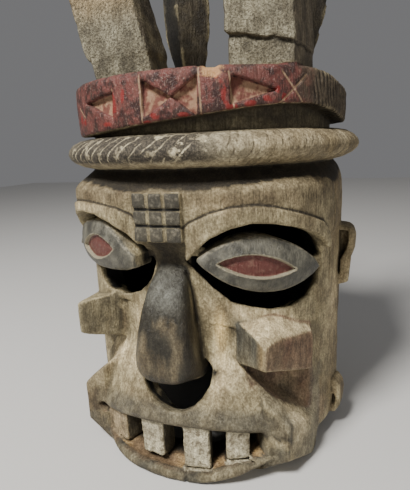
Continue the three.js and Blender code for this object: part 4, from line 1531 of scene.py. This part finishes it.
def wood_material():
    g = Graph("carved_wood")
    grain = g.noise(2.4, 5.0, (1.0, 1.0, 0.16), 0.62)
    fibres = g.noise(1.1, 3.0, (1.0, 1.0, 0.06))
    dust = g.noise(11.0, 8.0, (1.0, 1.0, 0.7), 0.66)
    specks = g.noise(1.6, 4.0, (1.0, 1.0, 0.8), 0.65)
    ragged = g.noise(4.6, 7.0, (1.0, 1.0, 1.0), 0.68)
    jitter = g.math("MULTIPLY_ADD", ragged, 4.0, -2.0)

    def zone(name, at=0.0, soft=0.4, wander=1.0):
        """Where a distance is above a limit, with a ragged edge."""
        moved = g.math("MULTIPLY_ADD", jitter, wander, g.layer(name))
        return g.ramp(moved, at - soft, at + soft)

    # The points' colours: wood, dust and patina, with painted shade and painted highlights
    colour = g.layer("stain_and_painted_light", "Color")

    def lay(paint, *shares):
        nonlocal colour
        colour = g.mix(g.times(*shares), colour, paint)

    def shade(share, where, dark, light):
        nonlocal colour
        colour = g.mix(share, colour, g.mix(where, dark, light), "MULTIPLY")

    # Bare and dusty wood: veins, clouds of dust, grit and fine cracks
    shade(0.75, g.ramp(grain, 0.36, 0.64), (0.72, 0.69, 0.64), (1.14, 1.14, 1.12))
    shade(0.95, g.ramp(dust, 0.38, 0.62), (0.62, 0.60, 0.57), (1.24, 1.24, 1.22))
    shade(0.9, g.ramp(specks, 0.38, 0.62), (0.66, 0.64, 0.61), (1.16, 1.16, 1.15))
    lay(tone(60, 52, 40), g.ramp(fibres, 0.27, 0.36, 0.3, 0.0))

    # Ring: dark paint in patches, scratched through to the pale ground
    patch = g.ramp(g.noise(12.0, 6.0, (1.0, 1.0, 1.2), 0.66), 0.37, 0.46)
    place = g.nodes.new("ShaderNodeSeparateXYZ")
    g.links.new(g.place, place.inputs[0])
    forward = g.math("MULTIPLY_ADD", place.outputs[1], -1.0, SHIFT_Y / 1000.0)
    turn = g.math("ARCTAN2", place.outputs[0], forward)
    front = g.times(g.ramp(turn, -1.1, -0.55, 0.55, 1.0), g.ramp(turn, 0.5, 0.22))
    height = place.outputs[2]
    upper = g.times(g.ramp(height, 0.2725, 0.276), g.ramp(height, 0.2955, 0.2945))
    patch = g.times(patch, front, upper, g.ramp(g.layer("strokes"), 0.8, 0.45), g.layer("ring"))
    lay(g.mix(g.ramp(specks, 0.4, 0.66), tone(42, 38, 33), tone(90, 82, 70)), patch, 0.95)
    gaps = g.ramp(g.noise(7.0, 3.0), 0.42, 0.6)
    hatching = g.times(g.ramp(g.layer("hatching"), 0.2, 0.8), 0.6, gaps)
    lay(tone(74, 64, 48), hatching)
    cuts = g.times(g.ramp(g.layer("cuts"), 0.15, 0.6), 0.8)
    lay(tone(40, 34, 27), cuts)

    # Band: old red-brown paint with brighter red round the sunk triangles
    paint = zone("paint", 0.0, 0.5, 0.5)
    worn = g.ramp(g.noise(9.0, 7.0, (1.0, 1.0, 0.8), 0.68), 0.42, 0.58)
    fade = g.ramp(turn, 1.08, 0.86)
    paint = g.times(paint, g.times(fade, g.ramp(turn, -1.75, -1.35)))
    base = g.mix(worn, tone(104, 56, 52), tone(48, 22, 24))
    base = g.mix(g.ramp(specks, 0.56, 0.70, 0.0, 0.45), base, tone(178, 150, 136))
    lay(base, paint, 0.95)
    bright = g.math("MULTIPLY_ADD", ragged, 1.1, g.math("SUBTRACT", g.layer("bright"), 0.55))
    lay(tone(134, 38, 34), g.ramp(bright, 0.3, 0.62), paint, 0.75)
    tan = g.mix(g.ramp(g.noise(9.0, 4.0), 0.47, 0.6), tone(150, 118, 92), tone(106, 62, 50))
    lay(tan, zone("recess", 0.4, 0.5, 0.2), paint, 0.92)
    lay(tone(170, 142, 112), g.ramp(g.layer("scores"), 1.0, 0.4), zone("paint", 0.0, 0.5, 0.0), 0.7)
    chip = g.math("MULTIPLY_ADD", ragged, 1.2, g.math("SUBTRACT", g.layer("chip"), 0.6))
    lay(tone(190, 146, 98), g.ramp(chip, 0.25, 0.5), 0.85)

    # Forehead block: dark fields between pale grooves
    field_colour = g.mix(g.ramp(ragged, 0.46, 0.7), tone(56, 54, 48), tone(112, 106, 92))
    lay(field_colour, zone("fields", 0.5, 0.35, 0.35), 0.92)
    # Brow folds: a dark line of painted shade along each edge
    lay(tone(44, 38, 30), g.ramp(g.layer("creases"), 1.3, 0.4), 0.85)

    # Eyes: slate lids, pale raised rim, dull red slit
    lid = zone("lid", 0.0, 0.4, 0.0)
    lay(g.mix(g.ramp(dust, 0.36, 0.72), tone(58, 58, 54), tone(110, 108, 97)), lid, 0.92)
    lay(tone(160, 152, 130), g.ramp(g.layer("lid"), 2.6, 0.8), lid, g.ramp(ragged, 0.4, 0.6), 0.75)
    lay(tone(164, 154, 128), zone("slit", -1.2, 0.4, 0.5), lid, 0.7)
    red = g.mix(g.ramp(ragged, 0.48, 0.7), tone(92, 44, 40), tone(116, 80, 69))
    lay(red, zone("slit", 0.4, 0.4, 0.15), lid, 0.95)

    # Pitted fronts of the posts, and crusty teeth
    lay(tone(76, 71, 60), g.ramp(specks, 0.48, 0.38), g.layer("pitted"), 0.55)
    lay(tone(112, 100, 80), g.ramp(ragged, 0.5, 0.38), g.layer("crusty"), 0.75)

    g.put(g.shader.inputs["Base Color"], colour)
    rough = g.ramp(dust, 0.3, 0.7, 0.62, 0.86)
    rough = g.math("SUBTRACT", rough, g.times(g.math("MAXIMUM", lid, g.layer("polished")), 0.34))
    g.put(g.shader.inputs["Roughness"], rough)
    g.shader.inputs["Specular IOR Level"].default_value = 0.35

    # Relief of fibres, grain, grit and pits, with the strokes sunk in it
    relief = g.math("MULTIPLY_ADD", fibres, 0.6, g.times(grain, 0.8))
    rough_places = g.math("ADD", g.layer("pitted"), g.layer("crusty"))
    for part in (g.times(ragged, 0.9), g.times(specks, 0.6), g.times(specks, rough_places, 2.4)):
        relief = g.math("ADD", relief, part)
    relief = g.math("SUBTRACT", relief, g.times(g.math("ADD", hatching, cuts), 0.8))
    bump = g.nodes.new("ShaderNodeBump")
    bump.inputs["Strength"].default_value = 0.85
    bump.inputs["Distance"].default_value = 0.0015
    g.put(bump.inputs["Height"], relief)
    g.put(g.shader.inputs["Normal"], bump.outputs["Normal"])
    return g.material


mask = mask_piece()
mask.data.materials.append(wood_material())

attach(mask, "root")
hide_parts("mask")


FLOOR_HALF = 3.0


def floor_piece():
    mesh = bpy.data.meshes.new("floor")
    corners = [(x * FLOOR_HALF, y * FLOOR_HALF, 0) for x, y in ((-1, -1), (1, -1), (1, 1), (-1, 1))]
    mesh.from_pydata(corners, [], [(0, 1, 2, 3)])
    piece = bpy.data.objects.new("floor", mesh)
    bpy.context.scene.collection.objects.link(piece)
    material = bpy.data.materials.new("floor")
    material.use_nodes = True
    shader = material.node_tree.nodes["Principled BSDF"]
    shader.inputs["Base Color"].default_value = (0.62, 0.61, 0.59, 1)
    shader.inputs["Roughness"].default_value = 0.9
    mesh.materials.append(material)
    return piece


floor_piece()


# The photograph's view, fitted to the ring, the band and the face: the place in metres from the log's
# axis, and degrees round the mask, downwards and clockwise
CAMERA_PLACE = (0.15562, -0.42756, 0.28486)
CAMERA_TURN = 21.55
CAMERA_DOWN = 13.0
CAMERA_ROLL = 2.6
SENSOR = 36.0
LENS_SHARE = 429.0 / 490.0


def camera():
    data = bpy.data.cameras.new("camera")
    data.sensor_width = SENSOR
    data.lens = SENSOR * LENS_SHARE
    data.clip_start = 0.01
    piece = bpy.data.objects.new("camera", data)
    bpy.context.scene.collection.objects.link(piece)
    turn = Matrix.Rotation(math.radians(CAMERA_TURN), 4, "Z")
    tip = Matrix.Rotation(math.radians(90.0 - CAMERA_DOWN), 4, "X")
    roll = Matrix.Rotation(math.radians(-CAMERA_ROLL), 4, "Z")
    x, y, z = CAMERA_PLACE
    place = Matrix.Translation((x, y + SHIFT_Y / 1000.0, z))
    piece.matrix_world = place @ turn @ tip @ roll
    bpy.context.scene.camera = piece


LIT_POINT = (0.0, 0.0, 0.2)


def soft_light(name, position, size, power, colour=(1, 1, 1)):
    data = bpy.data.lights.new(name, "AREA")
    data.shape = "DISK"
    data.size = size
    data.energy = power
    data.color = colour
    piece = bpy.data.objects.new(name, data)
    bpy.context.scene.collection.objects.link(piece)
    here = Matrix.Translation(position)
    aim = Vector(LIT_POINT) - Vector(position)
    piece.matrix_world = here @ aim.to_track_quat("-Z", "Y").to_matrix().to_4x4()


camera()
soft_light("key", (-0.33, -1.12, 1.64), 0.45, 60.0, (1.0, 0.98, 0.945))
soft_light("fill", (1.1, -1.2, 0.5), 1.2, 4.0)
world = bpy.data.worlds.new("studio")
bpy.context.scene.world = world
world.use_nodes = True
background = world.node_tree.nodes["Background"]
background.inputs["Color"].default_value = (0.8, 0.8, 0.82, 1)
background.inputs["Strength"].default_value = 0.22
